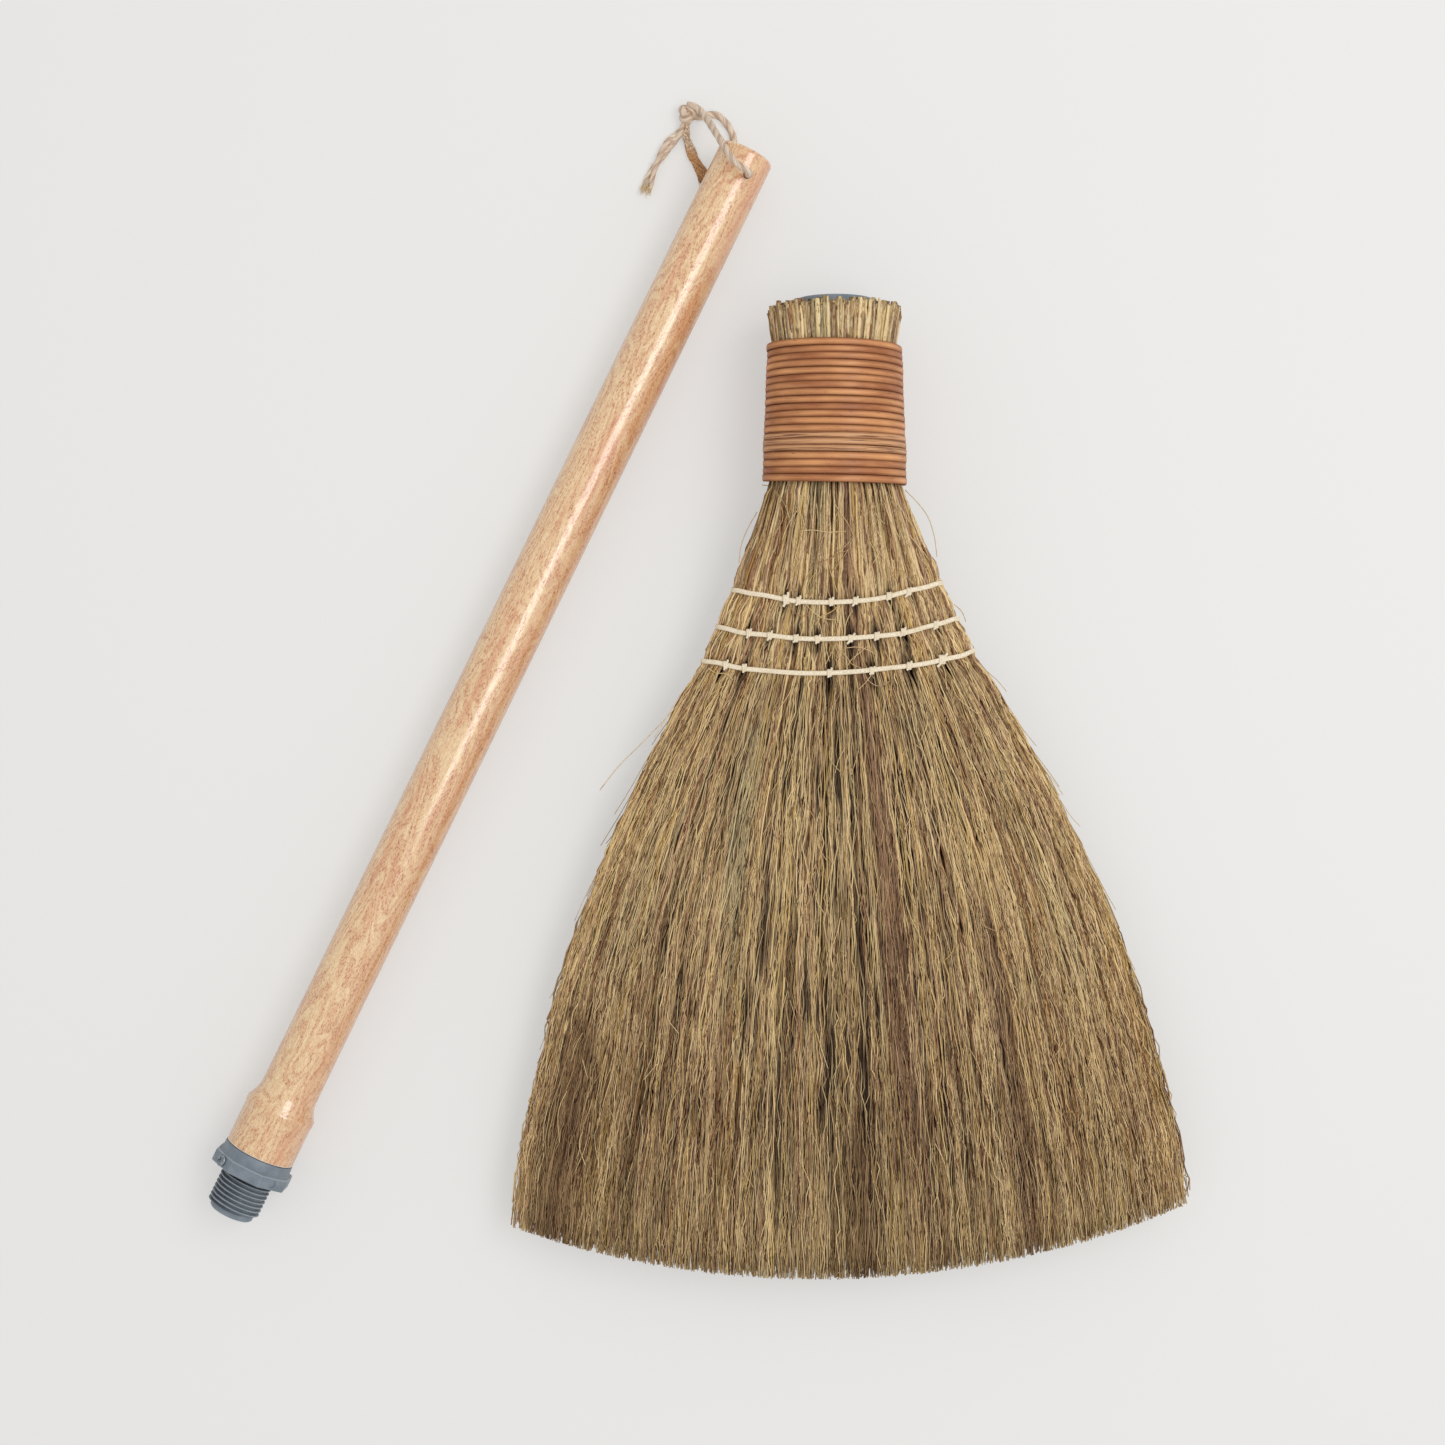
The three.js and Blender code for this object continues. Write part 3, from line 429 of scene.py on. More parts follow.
class Socket:
    """A value in a material, which takes part in sums"""

    def __init__(self, finish, link):
        self.finish = finish
        self.link = link

    def __add__(self, other):
        return self.finish.maths("ADD", self, other)

    def __sub__(self, other):
        return self.finish.maths("SUBTRACT", self, other)

    def __rsub__(self, other):
        return self.finish.maths("SUBTRACT", other, self)

    def __mul__(self, other):
        return self.finish.maths("MULTIPLY", self, other)

    def __pow__(self, other):
        return self.finish.maths("POWER", self, other)

    __radd__ = __add__
    __rmul__ = __mul__

    def wave(self):
        return self.finish.maths("SINE", self * TURN) * 0.5 + 0.5

    def between(self, low, high):
        """0 below low and 1 above high"""
        inputs = {"Value": self, "From Min": low, "From Max": high}
        return self.finish.node("ShaderNodeMapRange", {"interpolation_type": "SMOOTHSTEP"}, inputs)

    def band(self, rise, risen, fall, fallen):
        """1 from risen to fall, and 0 outside"""
        return self.between(rise, risen) * (1 - self.between(fall, fallen))


def tone(red, green, blue):
    """A colour as a screen shows it, from 0 to 255"""
    channels = [value / 255 for value in (red, green, blue)]
    linear = [c / 12.92 if c <= 0.04045 else ((c + 0.055) / 1.055) ** 2.4 for c in channels]
    return (*linear, 1)


class Finish:
    """One material, made of nodes. Its colour starts as one tone and gets others laid over it."""

    def __init__(self, name, **constants):
        self.material = bpy.data.materials.new(name)
        self.material.use_nodes = True
        self.tree = self.material.node_tree
        self.shader = self.tree.nodes["Principled BSDF"]
        self.set(**constants)

    def node(self, kind, settings=None, inputs=None, output=0):
        made = self.tree.nodes.new(kind)
        for key, value in (settings or {}).items():
            setattr(made, key, value)
        for key, value in (inputs or {}).items():
            self.feed(made.inputs[key], value)
        return Socket(self, made.outputs[output])

    def feed(self, socket, value):
        if isinstance(value, Socket):
            self.tree.links.new(value.link, socket)
        else:
            socket.default_value = value

    def set(self, **values):
        for key, value in values.items():
            self.feed(self.shader.inputs[key.replace("_", " ")], value)

    def coordinates(self, kind):
        return self.node("ShaderNodeTexCoord", output=kind)

    def object_place(self):
        """The place on the object, in millimetres"""
        return self.stretched(self.coordinates("Object"), (1000, 1000, 1000))

    def handle_place(self):
        """The place on the handle: x across it, y along it, in millimetres"""
        inputs = {
            "Vector": self.coordinates("Object"),
            "Location": tuple(HANDLE_PLACE * MM),
            "Rotation": (0, 0, HANDLE_ANGLE),
        }
        place = self.node("ShaderNodeMapping", {"vector_type": "TEXTURE"}, inputs)
        return self.stretched(place, (1000, 1000, 1000))

    def stretched(self, vector, scale):
        return self.node("ShaderNodeVectorMath", {"operation": "MULTIPLY"}, {0: vector, 1: scale})

    def part_of(self, vector, axis):
        return self.node("ShaderNodeSeparateXYZ", inputs={0: vector}, output=axis)

    def noise(self, vector, scale, detail=2.0, distortion=0.0):
        """Noise whose spots are as large as 1 over each axis's scale"""
        inputs = {"Vector": self.stretched(vector, scale), "Scale": 1}
        inputs |= {"Detail": detail, "Distortion": distortion}
        return self.node("ShaderNodeTexNoise", inputs=inputs)

    def channels(self, name):
        """The three numbers that a piece keeps for each point"""
        kept = self.node("ShaderNodeAttribute", {"attribute_name": name})
        return [self.node("ShaderNodeSeparateColor", inputs={0: kept}, output=i) for i in range(3)]

    def maths(self, operation, *values):
        return self.node("ShaderNodeMath", {"operation": operation}, dict(enumerate(values)))

    def mix(self, part, first, second):
        return self.node("ShaderNodeMix", {"data_type": "RGBA"}, {0: part, 6: first, 7: second}, 2)

    def tones(self, part, first, second):
        """From one tone to another"""
        return self.mix(part, tone(*first), tone(*second))

    def tint(self, part, other):
        """Lays another tone over the colour"""
        self.colour = self.mix(part, self.colour, tone(*other))

    def done(self, relief, depth, strength, **values):
        """The material with its colour and a relief of a depth in millimetres"""
        inputs = {"Height": relief, "Distance": depth * MM, "Strength": strength}
        bump = self.node("ShaderNodeBump", inputs=inputs)
        self.set(Base_Color=self.colour, Normal=bump, **values)
        return self.material


def straw_finish():
    """Dry straw: each one its own tone, with streaks along it, stains through the bundle, and
    painted shade inside the bundle and on each straw's lower flanks
    """
    made = Finish("dry_straw", Specular_IOR_Level=0.35)
    place = made.object_place()
    light, hue, inside = made.channels("tone_hue_and_painted_shade")
    purple, green, dark = made.channels("stain")
    streaks = made.noise(place, (2.4, 0.06, 2.4), 3)
    dashes = made.noise(place, (2.8, 0.32, 2.8), 3)
    lit = (light + (streaks - 0.5) * 0.6 + (dashes - 0.5) * 1.0).between(0.1, 0.88)
    made.colour = made.tones(lit, (118, 74, 38), (255, 226, 170))
    made.tint(hue.band(0.62, 0.66, 0.8, 0.84) * 0.5, (216, 176, 92))
    made.tint(hue.between(0.86, 0.89) * 0.6, (164, 110, 76))
    made.tint((1 - hue.between(0.06, 0.1)) * 0.4, (182, 160, 116))
    made.tint(hue.band(0.2, 0.22, 0.3, 0.32) * 0.4, (210, 168, 142))
    made.tint(hue.band(0.32, 0.34, 0.4, 0.42) * 0.35, (190, 174, 126))
    blotches = made.noise(place, (0.5, 0.09, 0.5), 2)
    made.tint(blotches.between(0.55, 0.75) * 0.35, (146, 102, 62))
    # Brown spots and pale split faces near the cut ends
    near_cut = made.part_of(place, 1).between(135, 139)
    spots = made.noise(place, (0.6, 0.26, 0.6), 3)
    made.tint(spots.between(0.6, 0.68) * near_cut * 0.75, (112, 76, 50))
    made.tint((1 - spots.between(0.34, 0.44)) * near_cut * 0.35, (248, 232, 200))
    for stain, deep, pale in (
        (purple * 0.8, (88, 56, 42), (164, 120, 92)),
        (green * 0.5, (104, 98, 66), (196, 188, 148)),
        (dark * 0.7, (70, 46, 28), (150, 110, 72)),
    ):
        made.colour = made.mix(stain, made.colour, made.tones(lit, deep, pale))
    # Painted shade: straws that lie under the surface are darkened, and so are the lower flanks of
    # every straw.
    made.tint(inside * 0.93, (54, 31, 15))
    return made.done(dashes, 0.14, 0.7, Roughness=0.72 - streaks * 0.25)


def rattan_finish():
    """Varnished cane: warm brown with fibres and nicks along it, and painted shade towards the
    grooves
    """
    made = Finish("rattan", Specular_IOR_Level=0.3, Coat_Roughness=0.3)
    uv = made.coordinates("UV")
    worn, groove, turn_tone = made.channels("cane_facts")
    fibres = made.noise(uv, (0.03, 34, 1), 4)
    patches = made.noise(uv, (0.05, 1, 1), 3)
    nicks = made.noise(uv, (0.22, 7, 1), 4)
    scratches = made.noise(uv, (0.045, 9, 1), 5)
    lit = fibres * 0.7 + turn_tone * 0.28 + (patches - 0.5) * 0.9 + 0.1
    made.colour = made.tones(lit.between(0.2, 0.95), (150, 84, 46), (236, 169, 111))
    made.tint(nicks.between(0.64, 0.72) * 0.7, (88, 50, 30))
    scratched = made.tones(scratches.between(0.5, 0.6), (212, 160, 114), (108, 70, 46))
    made.colour = made.mix(worn * 0.85, made.colour, scratched)
    # Painted shade: each turn darkens towards the grooves on either side of it.
    made.tint((groove**1.6) * (0.88 - worn * 0.12), (102, 50, 23))
    rough = 0.45 + fibres * 0.2 + groove * 0.25
    return made.done(fibres, 0.1, 0.6, Roughness=rough, Coat_Weight=0.4 - groove * 0.4)


def sewing_finish():
    """Waxed sewing cord, cream, with twisted fibres"""
    made = Finish("sewing_cord", Roughness=0.7, Specular_IOR_Level=0.35)
    uv = made.coordinates("UV")
    lay = (made.part_of(uv, 0) * 0.62 + made.part_of(uv, 1) * 2).wave()
    fibres = made.noise(uv, (1.1, 14, 1), 3)
    dirt = made.noise(made.object_place(), (0.16, 0.3, 0.16), 3)
    made.colour = made.tones(fibres.between(0.3, 0.7), (224, 204, 170), (250, 240, 218))
    made.tint(dirt.between(0.55, 0.75) * 0.35, (204, 174, 128))
    return made.done(lay * 0.6 + fibres * 0.4, 0.12, 0.7)


def twine_finish():
    """Jute twine with pale and brown fibres along its plies"""
    made = Finish("jute_twine", Roughness=0.85, Specular_IOR_Level=0.25, Sheen_Weight=0.15)
    uv = made.coordinates("UV")
    fibres = made.noise(uv, (0.22, 20, 1), 4)
    spots = made.noise(made.object_place(), (0.6, 0.6, 0.6), 3)
    made.colour = made.tones(fibres.between(0.28, 0.7), (186, 156, 130), (250, 234, 214))
    made.tint(spots.between(0.52, 0.7) * 0.35, (196, 164, 138))
    # Painted shade darkens the groove between the two plies, and the frayed end is pale.
    crest = (made.part_of(uv, 1) * 2 + 0.25).wave()
    made.tint((1 - crest) ** 2 * 0.45, (146, 110, 84))
    end = 1 - made.part_of(made.handle_place(), 1).between(419, 423)
    made.tint(end * 0.7, (236, 212, 164))
    return made.done(fibres, 0.2, 0.8)


def frayed_finish():
    """The right end of the twine, stained orange-brown where it frays"""
    made = Finish("jute_frayed_end", Roughness=0.85, Specular_IOR_Level=0.25)
    place = made.handle_place()
    fibres = made.noise(place, (4, 1.4, 4), 3)
    lit = fibres.between(0.4, 0.6)
    jute = made.tones(lit, (150, 116, 88), (238, 216, 188))
    brown = made.tones(lit, (160, 112, 74), (222, 176, 128))
    made.colour = made.mix((452 - made.part_of(place, 1)).between(9, 13), jute, brown)
    return made.done(fibres, 0.2, 0.8)


def plastic_finish():
    """Moulded grey plastic, with painted highlights on the nut's edges and the thread's crests,
    painted shade in the thread's troughs and a painted shadow under the nut
    """
    made = Finish("grey_plastic", Specular_IOR_Level=0.5)
    place = made.object_place()
    mottle = made.noise(place, (0.25, 0.25, 0.25), 4)
    grain = made.noise(place, (5, 5, 5), 2)
    made.colour = made.tones(mottle.between(0.3, 0.7), (114, 125, 135), (130, 140, 149))
    made.tint(grain.between(0.6, 0.8) * 0.25, (148, 157, 166))
    handle = made.handle_place()
    x, along, z = (made.part_of(handle, i) for i in range(3))
    from_axis = (x * x + z * z) ** 0.5
    thread = along.band(-14.7, -14.5, -0.9, -0.7)
    # Painted shade in the thread's troughs, stronger on its left side
    shade = 0.75 - x.between(-9, 8) * 0.5
    made.tint((1 - from_axis.between(9.45, 10.25)) * thread * shade, (40, 44, 48))
    # Painted highlight on the thread's crests
    made.tint(from_axis.between(10.3, 10.46) * thread * 0.3, (190, 196, 202))
    # Painted shadow under the nut, over the first turns of the thread
    painted_nut_shadow = along.band(-2.6, -1.4, -0.5, -0.3) * (1 - from_axis.between(11, 12))
    made.tint(painted_nut_shadow * 0.7, (34, 38, 42))
    # Painted highlight along the nut's top rim and at its corners, broken up by the grain
    nut = from_axis.between(14.9, 15.1) * along.between(-0.1, 0)
    below_top = 1 - along.between(5.1, 5.2)
    rim = along.between(4.55, 4.75) * below_top
    from_corner = made.maths("ABSOLUTE", made.maths("ABSOLUTE", x) - 6.32)
    painted_rim_highlight = made.maths("MAXIMUM", rim, (1 - from_corner.between(0.1, 0.5)) * 0.35)
    made.tint(painted_rim_highlight * grain.between(0.2, 0.5) * nut * below_top * 0.38, (186, 193, 199))
    return made.done(grain, 0.03, 0.35, Roughness=0.36 + mottle * 0.16)


def film_finish():
    """Glossy printed film: wood grain with flame figure, brown flecks, reddish streaks and painted
    shade along its left side
    """
    gloss = {"Coat_Weight": 1.0, "Coat_Roughness": 0.18, "Coat_IOR": 1.8}
    made = Finish("wood_grain_film", Specular_IOR_Level=0.5, **gloss)
    place = made.handle_place()
    across, along = (made.part_of(place, i) for i in range(2))
    flame = (made.noise(place, (0.075, 0.016, 0.075), 2, 0.5) * 15).wave()
    flecks = made.noise(place, (3.0, 0.8, 3.0), 2)
    specks = made.noise(place, (1.3, 0.26, 1.3), 3)
    grit = made.noise(place, (3.6, 1.5, 3.6), 2)
    red = made.noise(place, (0.24, 0.014, 0.24), 2)
    made.colour = made.tones(specks.between(0.28, 0.72), (236, 196, 144), (250, 220, 172))
    made.tint(flame.between(0.3, 0.95) * 0.45, (222, 160, 112))
    made.tint(red.between(0.52, 0.7) * 0.45, (222, 142, 98))
    made.tint(across.between(3.5, 8.5) * 0.35, (218, 146, 104))
    # Painted shade along the film's left side, away from the light
    made.tint((1 - across.between(-11, -7.5)) * 0.3, (196, 146, 100))
    made.tint(flecks.between(0.5, 0.6) * (0.3 + flame * 0.6), (180, 106, 66))
    made.tint(grit.between(0.5, 0.66) * 0.25, (190, 132, 88))
    made.tint((1 - along.between(9.75, 9.95)) * 0.8, (244, 236, 222))
    return made.done(specks, 0.02, 0.25, Roughness=0.34 + flecks * 0.1)


def wood_finish():
    """Pale turned wood, with rings on its end and pores along it"""
    made = Finish("turned_wood", Roughness=0.6, Specular_IOR_Level=0.3)
    place = made.handle_place()
    rings = (made.noise(place, (0.16, 0.004, 0.16), 2, 0.6) * 14).wave()
    pores = made.noise(place, (3, 0.12, 3), 3)
    made.colour = made.tones(rings, (226, 196, 150), (202, 164, 116))
    made.tint(pores.between(0.6, 0.72) * 0.5, (158, 118, 78))
    return made.done(pores, 0.05, 0.5)


def steel_finish():
    """Zinc-plated screw head with dull patches"""
    made = Finish("zinc_steel", Metallic=0.9)
    patches = made.noise(made.object_place(), (1.2, 1.2, 1.2), 4)
    colour = made.tones(patches.between(0.35, 0.7), (120, 130, 140), (168, 174, 180))
    made.set(Base_Color=colour, Roughness=0.3 + patches * 0.3)
    return made.material


def table_finish():
    """A pale table that glows a little to the camera, so that its shadows stay light"""
    made = Finish("pale_table", Roughness=0.9, Specular_IOR_Level=0.1)
    made.set(Base_Color=tone(236, 235, 233))
    glow = made.node("ShaderNodeEmission", inputs={"Color": tone(235, 234, 232), "Strength": 1})
    seen = made.node("ShaderNodeLightPath", output="Is Camera Ray")
    plain = Socket(made, made.shader.outputs["BSDF"])
    mixed = made.node("ShaderNodeMixShader", inputs={0: seen * 0.52, 1: plain, 2: glow})
    made.feed(made.tree.nodes["Material Output"].inputs["Surface"], mixed)
    return made.material


def dress(piece, finish, body, slot, *nodes):
    """The piece takes its finish, moves with a body and stands for CAD nodes."""
    piece.data.materials.clear()
    piece.data.materials.append(finish)
    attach(piece, body)
    if nodes:
        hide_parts(*nodes)


# The handle's own frame: x across, y along from the nut's lower face, z above its axis


def on_handle(points):
    x, y, z = np.moveaxis(np.asarray(points, float), -1, 0)
    sine, cosine = math.sin(HANDLE_ANGLE), math.cos(HANDLE_ANGLE)
    return xyz(x * cosine - y * sine, x * sine + y * cosine, z) + HANDLE_PLACE


def place_on_handle(piece):
    turn = Matrix.Rotation(HANDLE_ANGLE, 4, "Z")
    piece.data.transform(Matrix.Translation(Vector(HANDLE_PLACE) * MM) @ turn)


# The twine. Its routes, given as points, follow the CAD model's but begin at or in the knot.

TWINE_DIAMETER = 3.0
PLY_STEP = 0.45
TWIST_LENGTH = 12
UNTWIST_LENGTH = 11
LOOP_FUZZ = 150
KNOT_FUZZ = 60
END_FUZZ = 50
BRUSH_FIBRES = 110
LOOP_ROUTE = (
    ((-30.6, 455.6, -8.7), (-28.2, 456.3, -8.3), (-25.4, 456.0, -8.2), (-22.6, 454.6, -6.8))
    + ((-19.0, 452.0, -2.2), (-15.4, 449.0, 2.8), (-11.6, 445.9, 7.9), (-7.8, 442.8, 12.1))
    + ((-4.2, 440.2, 15.3), (-1.2, 438.5, 17.1), (1.6, 437.7, 17.8), (4.1, 437.5, 16.7))
    + ((5.5, 437.5, 14.4), (5.3, 437.5, 11.4), (3.4, 437.5, 7.3), (0, 437.5, 0))
    + ((-3.3, 437.5, -7.1), (-4.6, 437.6, -9.9), (-5.7, 438.5, -12.2), (-6.4, 440.4, -13.7))
    + ((-6.7, 443.0, -14.1), (-7.0, 446.4, -14.1), (-7.5, 449.8, -14.1), (-8.7, 452.8, -14.1))
    + ((-11.3, 455.4, -14.1), (-14.6, 457.3, -14.0), (-18.2, 458.3, -13.9))
    + ((-21.3, 457.4, -13.7), (-23.4, 455.6, -13.4), (-25.4, 454.2, -13.1), (-27.4, 453.6, -12.7))
)
LONG_END_ROUTE = (
    ((-28.6, 452.5, -11.6), (-28.4, 448.2, -12.6), (-29.2, 444.6, -13.1), (-30.7, 439.9, -13.4))
    + ((-31.5, 434.1, -13.5), (-32.0, 426.8, -13.5), (-31.2, 419.8, -13.5))
)
SHORT_END_ROUTE = (
    ((-29.0, 452.5, -11.0), (-27.7, 448.6, -11.6), (-26.4, 445.6, -12.7), (-23.6, 442.6, -13.5))
    + ((-19.7, 439.1, -13.7), (-15.0, 435.7, -13.8), (-11.8, 433.7, -13.8))
)
KNOT_PLACE = (-29.4, 453.1, -11.3)


def two_ply_sections(count, step, radius):
    """Sections with two lobes, which turn along the twine"""
    angles = around_ring(14)
    lobes = radius * (0.86 + 0.14 * np.cos(angles) ** 2)
    turns = np.arange(count)[:, None] * step / TWIST_LENGTH * TURN
    return np.stack([lobes * np.cos(angles + turns), lobes * np.sin(angles + turns)], axis=-1)


def loose_fibres(name, starts, directions, lengths, thickness, bend):
    """Fine hairs that leave a twine"""
    part = np.linspace(0, 1, 5)
    lengths = lengths[:, None, None]
    curl = unit(chance.normal(size=(len(starts), 3)))
    lines = starts[:, None] + directions[:, None] * lengths * part[:, None]
    lines = lines + curl[:, None] * (lengths * bend * part[:, None] ** 2)
    lines[..., 2] = np.maximum(lines[..., 2], 0.2)
    radii = thickness * (1 - 0.7 * part) * np.ones((len(starts), 1))
    return tube_piece(name, ring_points(lines, radii, radii, 3))


def fuzz_on(path, radius, count):
    """Hairs round a twine's path"""
    at = chance.integers(1, len(path) - 1, count)
    ahead = unit(path[at + 1] - path[at - 1])
    out = square_to(chance.normal(size=(count, 3)), ahead)
    starts = path[at] + out * radius * 0.8
    directions = unit(out * 0.6 + ahead * chance.choice([-1, 1], (count, 1)))
    return loose_fibres("fuzz", starts, directions, chance.uniform(0.8, 2.6, count), 0.05, 0.3)


def twine_piece(name, parts, finish, node):
    piece = joined(name, *parts)
    smooth_sides(piece, 180)
    dress(piece, finish, "handle", "twine", node)
    return piece


def hanging_loop(jute):
    path = on_handle(smooth_route(LOOP_ROUTE, 1.5))
    fine = smooth_route(on_handle(LOOP_ROUTE), PLY_STEP)
    loop = sweep("twine_loop", fine, two_ply_sections(len(fine), PLY_STEP, TWINE_DIAMETER / 2))
    fuzz = fuzz_on(path, TWINE_DIAMETER / 2, LOOP_FUZZ)
    return twine_piece("twine_loop", (loop, fuzz), jute, "hanging_twine"), path


def overhand_knot(jute):
    angle = np.linspace(0, TURN, 97)[:-1]
    x = np.sin(angle) + 2 * np.sin(2 * angle)
    y = np.cos(angle) - 2 * np.cos(2 * angle)
    path = on_handle(xyz(x * 0.84, y * 0.8, -np.sin(3 * angle) * 1.5) + KNOT_PLACE)
    turns = round(step_lengths(path).mean() * len(path) / TWIST_LENGTH)
    sections = two_ply_sections(len(path), TWIST_LENGTH * turns / len(path), 1.75)
    knot = sweep("overhand_knot", path, sections, closed=True)
    return twine_piece("overhand_knot", (knot, fuzz_on(path, 1.3, KNOT_FUZZ)), jute, "twine_knot")


def twine_end(name, route, finish, node, yarns, yarn_radius, reach, spread):
    """The twine's yarns come apart, with a brush of fibres at the end."""
    path = smooth_route(on_handle(route), PLY_STEP)
    along = np.linspace(0, 1, len(path))
    apart = reach * lerp(1, spread, along**1.6)
    ahead = unit(np.gradient(path, axis=0))
    across = unit(np.cross(ahead, (0, 0, 1)))
    many = yarns > 2
    turning = along * len(path) * PLY_STEP / UNTWIST_LENGTH * TURN * (1 - 0.4 * along)
    thin = yarn_radius * (1 - 0.3 * along**3)
    sections = two_ply_sections(len(path), PLY_STEP, 1.0) * thin[:, None, None]
    parts = []
    for number in range(yarns):
        angle = number / yarns * TURN + turning * (1 if many else 0.5) + 2.4 * number * many
        out = math.sqrt((number + 0.5) / yarns) if many else 1
        aside = (np.cos(angle) * apart * out)[:, None]
        above = (np.sin(angle) * np.minimum(apart, reach * 1.2) * 0.6 * out)[:, None]
        yarn = path + across * aside + np.array((0, 0, 1)) * above
        yarn[:, 2] = np.maximum(yarn[:, 2], thin * 0.9)
        parts.append(sweep(name, yarn, sections))
    count = BRUSH_FIBRES
    wide = chance.uniform(-1, 1, (count, 1))
    back = ahead[-1] * chance.uniform(0, 2.5, (count, 1))
    starts = path[-1] - back + across[-1] * wide * apart[-1]
    starts[:, 2] += chance.uniform(-0.6, 0.9, count) * yarn_radius
    directions = unit(ahead[-1] + across[-1] * wide * 0.35 + np.array((0, 0, 0.05)))
    lengths = chance.uniform(1.6, 4.0, count)
    parts.append(loose_fibres("brush", starts, directions, lengths, 0.17, 0.2))
    parts.append(fuzz_on(path, reach + yarn_radius, END_FUZZ))
    return twine_piece(name, parts, finish, node)


def hanging_twine():
    jute = twine_finish()
    loop, path = hanging_loop(jute)
    knot = overhand_knot(jute)
    long_yarns = {"yarns": 2, "yarn_radius": 1.35, "reach": 0.8, "spread": 2.1}
    short_yarns = {"yarns": 14, "yarn_radius": 0.62, "reach": 1.0, "spread": 2.6}
    long_end = twine_end("twine_left_end", LONG_END_ROUTE, jute, "twine_tail_long", **long_yarns)
    frayed = frayed_finish()
    short_end = twine_end(
        "twine_right_end", SHORT_END_ROUTE, frayed, "twine_tail_short", **short_yarns
    )
    metres = path * MM


# The handle's adapter, screw, film and rod

THREAD_RADIUS = 10.48
THREAD_DEPTH = 1.16
THREAD_PITCH = 1.814
THREAD_LENGTH = 14.6
THREAD_FIT = 0.25
# The ridge's half width and its flank, in shares of the pitch
RIDGE_HALF = 0.31
FLANK = 0.2
COLLAR_LENGTH = 0.8
COLLAR_RADIUS = 10.66
NUT_ACROSS = 30.5
NUT_HEIGHT = 5.1
BORE_RADIUS = 7.2
BORE_END = 0.5
LEAD_RADIUS = 8.9
LEAD_LENGTH = 2.5
SKIRT_RADIUS = 14.1
SKIRT_TOP = 9.4
SLEEVE_RADIUS = 13.3
SLEEVE_TOP = 28.1
SLEEVE_BORE = 10.1
STICK_LENGTH = 447.4
GRIP_RADIUS = 11.1
END_ROUND = 2
FILM_WALL = 0.3
CUFF_STANDOFF = 0.6
CUFF_END = 25.4
BEAD_HEIGHT = 0.25
FLARE_START = 28.4
FLARE_END = 36.1
FLARE_RADIUS = 11.5
HOLE_RADIUS = 1.65
HOLE_FROM_END = 9.9
HOLE_TILT = math.radians(25)
SCREW_LENGTH = 11
SHANK_LENGTH = 9.8
SHANK_RADIUS = 1.2
COLUMNS = 96


def ring_of(radius, y):
    """Rings about the Y axis: radius and y are columns of numbers, or a number for each point"""
    angle = around_ring(COLUMNS)
    radius = np.broadcast_to(radius, (np.shape(y)[0], COLUMNS))
    return xyz(radius * np.cos(angle), y, radius * np.sin(angle))


def thread_rings(low, high, growth, rows_per_pitch=16):
    """Rings with a helical ridge along Y, steep at its flanks"""
    count = round((high - low) / THREAD_PITCH * rows_per_pitch) + 1
    y = np.linspace(low, high, count)[:, None]
    turn = (y / THREAD_PITCH - around_ring(COLUMNS) / TURN) % 1
    ridge = np.clip((RIDGE_HALF - np.abs(turn - 0.5)) / FLANK, 0, 1)
    return ring_of(THREAD_RADIUS + growth - THREAD_DEPTH * (1 - ridge), y)


def plain_rings(outline):
    outline = np.asarray(outline, float)
    return ring_of(outline[:, :1], outline[:, 1:])


def round_shell(name, *stretches):
    """A closed skin over stretches of rings, whose last ring meets the first"""
    piece = skin(name, np.concatenate(stretches), closed=True)
    face_outwards(piece)
    return piece


def adapter_stem():
    """The thread with its lead-in, bore and collar"""
    thread_end = -THREAD_LENGTH
    lead_end = thread_end - LEAD_LENGTH
    outline = [
        (BORE_RADIUS, BORE_END),
        (BORE_RADIUS, lead_end + 0.5),
        (BORE_RADIUS + 0.5, lead_end),
        (LEAD_RADIUS - 0.7, lead_end),
        (LEAD_RADIUS, lead_end + 0.7),
        (LEAD_RADIUS, thread_end - 0.3),
    ]
    collar = [
        (THREAD_RADIUS - THREAD_DEPTH, -COLLAR_LENGTH - 0.2),
        (COLLAR_RADIUS - 0.25, -COLLAR_LENGTH),
        (COLLAR_RADIUS, -COLLAR_LENGTH + 0.2),
        (COLLAR_RADIUS, BORE_END),
    ]
    thread = thread_rings(thread_end, -COLLAR_LENGTH - 0.4, 0)
    return round_shell("stem", plain_rings(outline), thread, plain_rings(collar))


def facet_direction(side):
    """Out of the nut's facet at the upper left (-1) or upper right (1)"""
    return (side * math.sin(math.pi / 4), 0, math.cos(math.pi / 4))


def drill_facet(nut, side, radius, length):
    x, _, z = facet_direction(side)
    place = (x * NUT_ACROSS / 2, NUT_HEIGHT / 2, z * NUT_ACROSS / 2)
    cut(nut, drill(radius, length, place, facet_direction(side)))


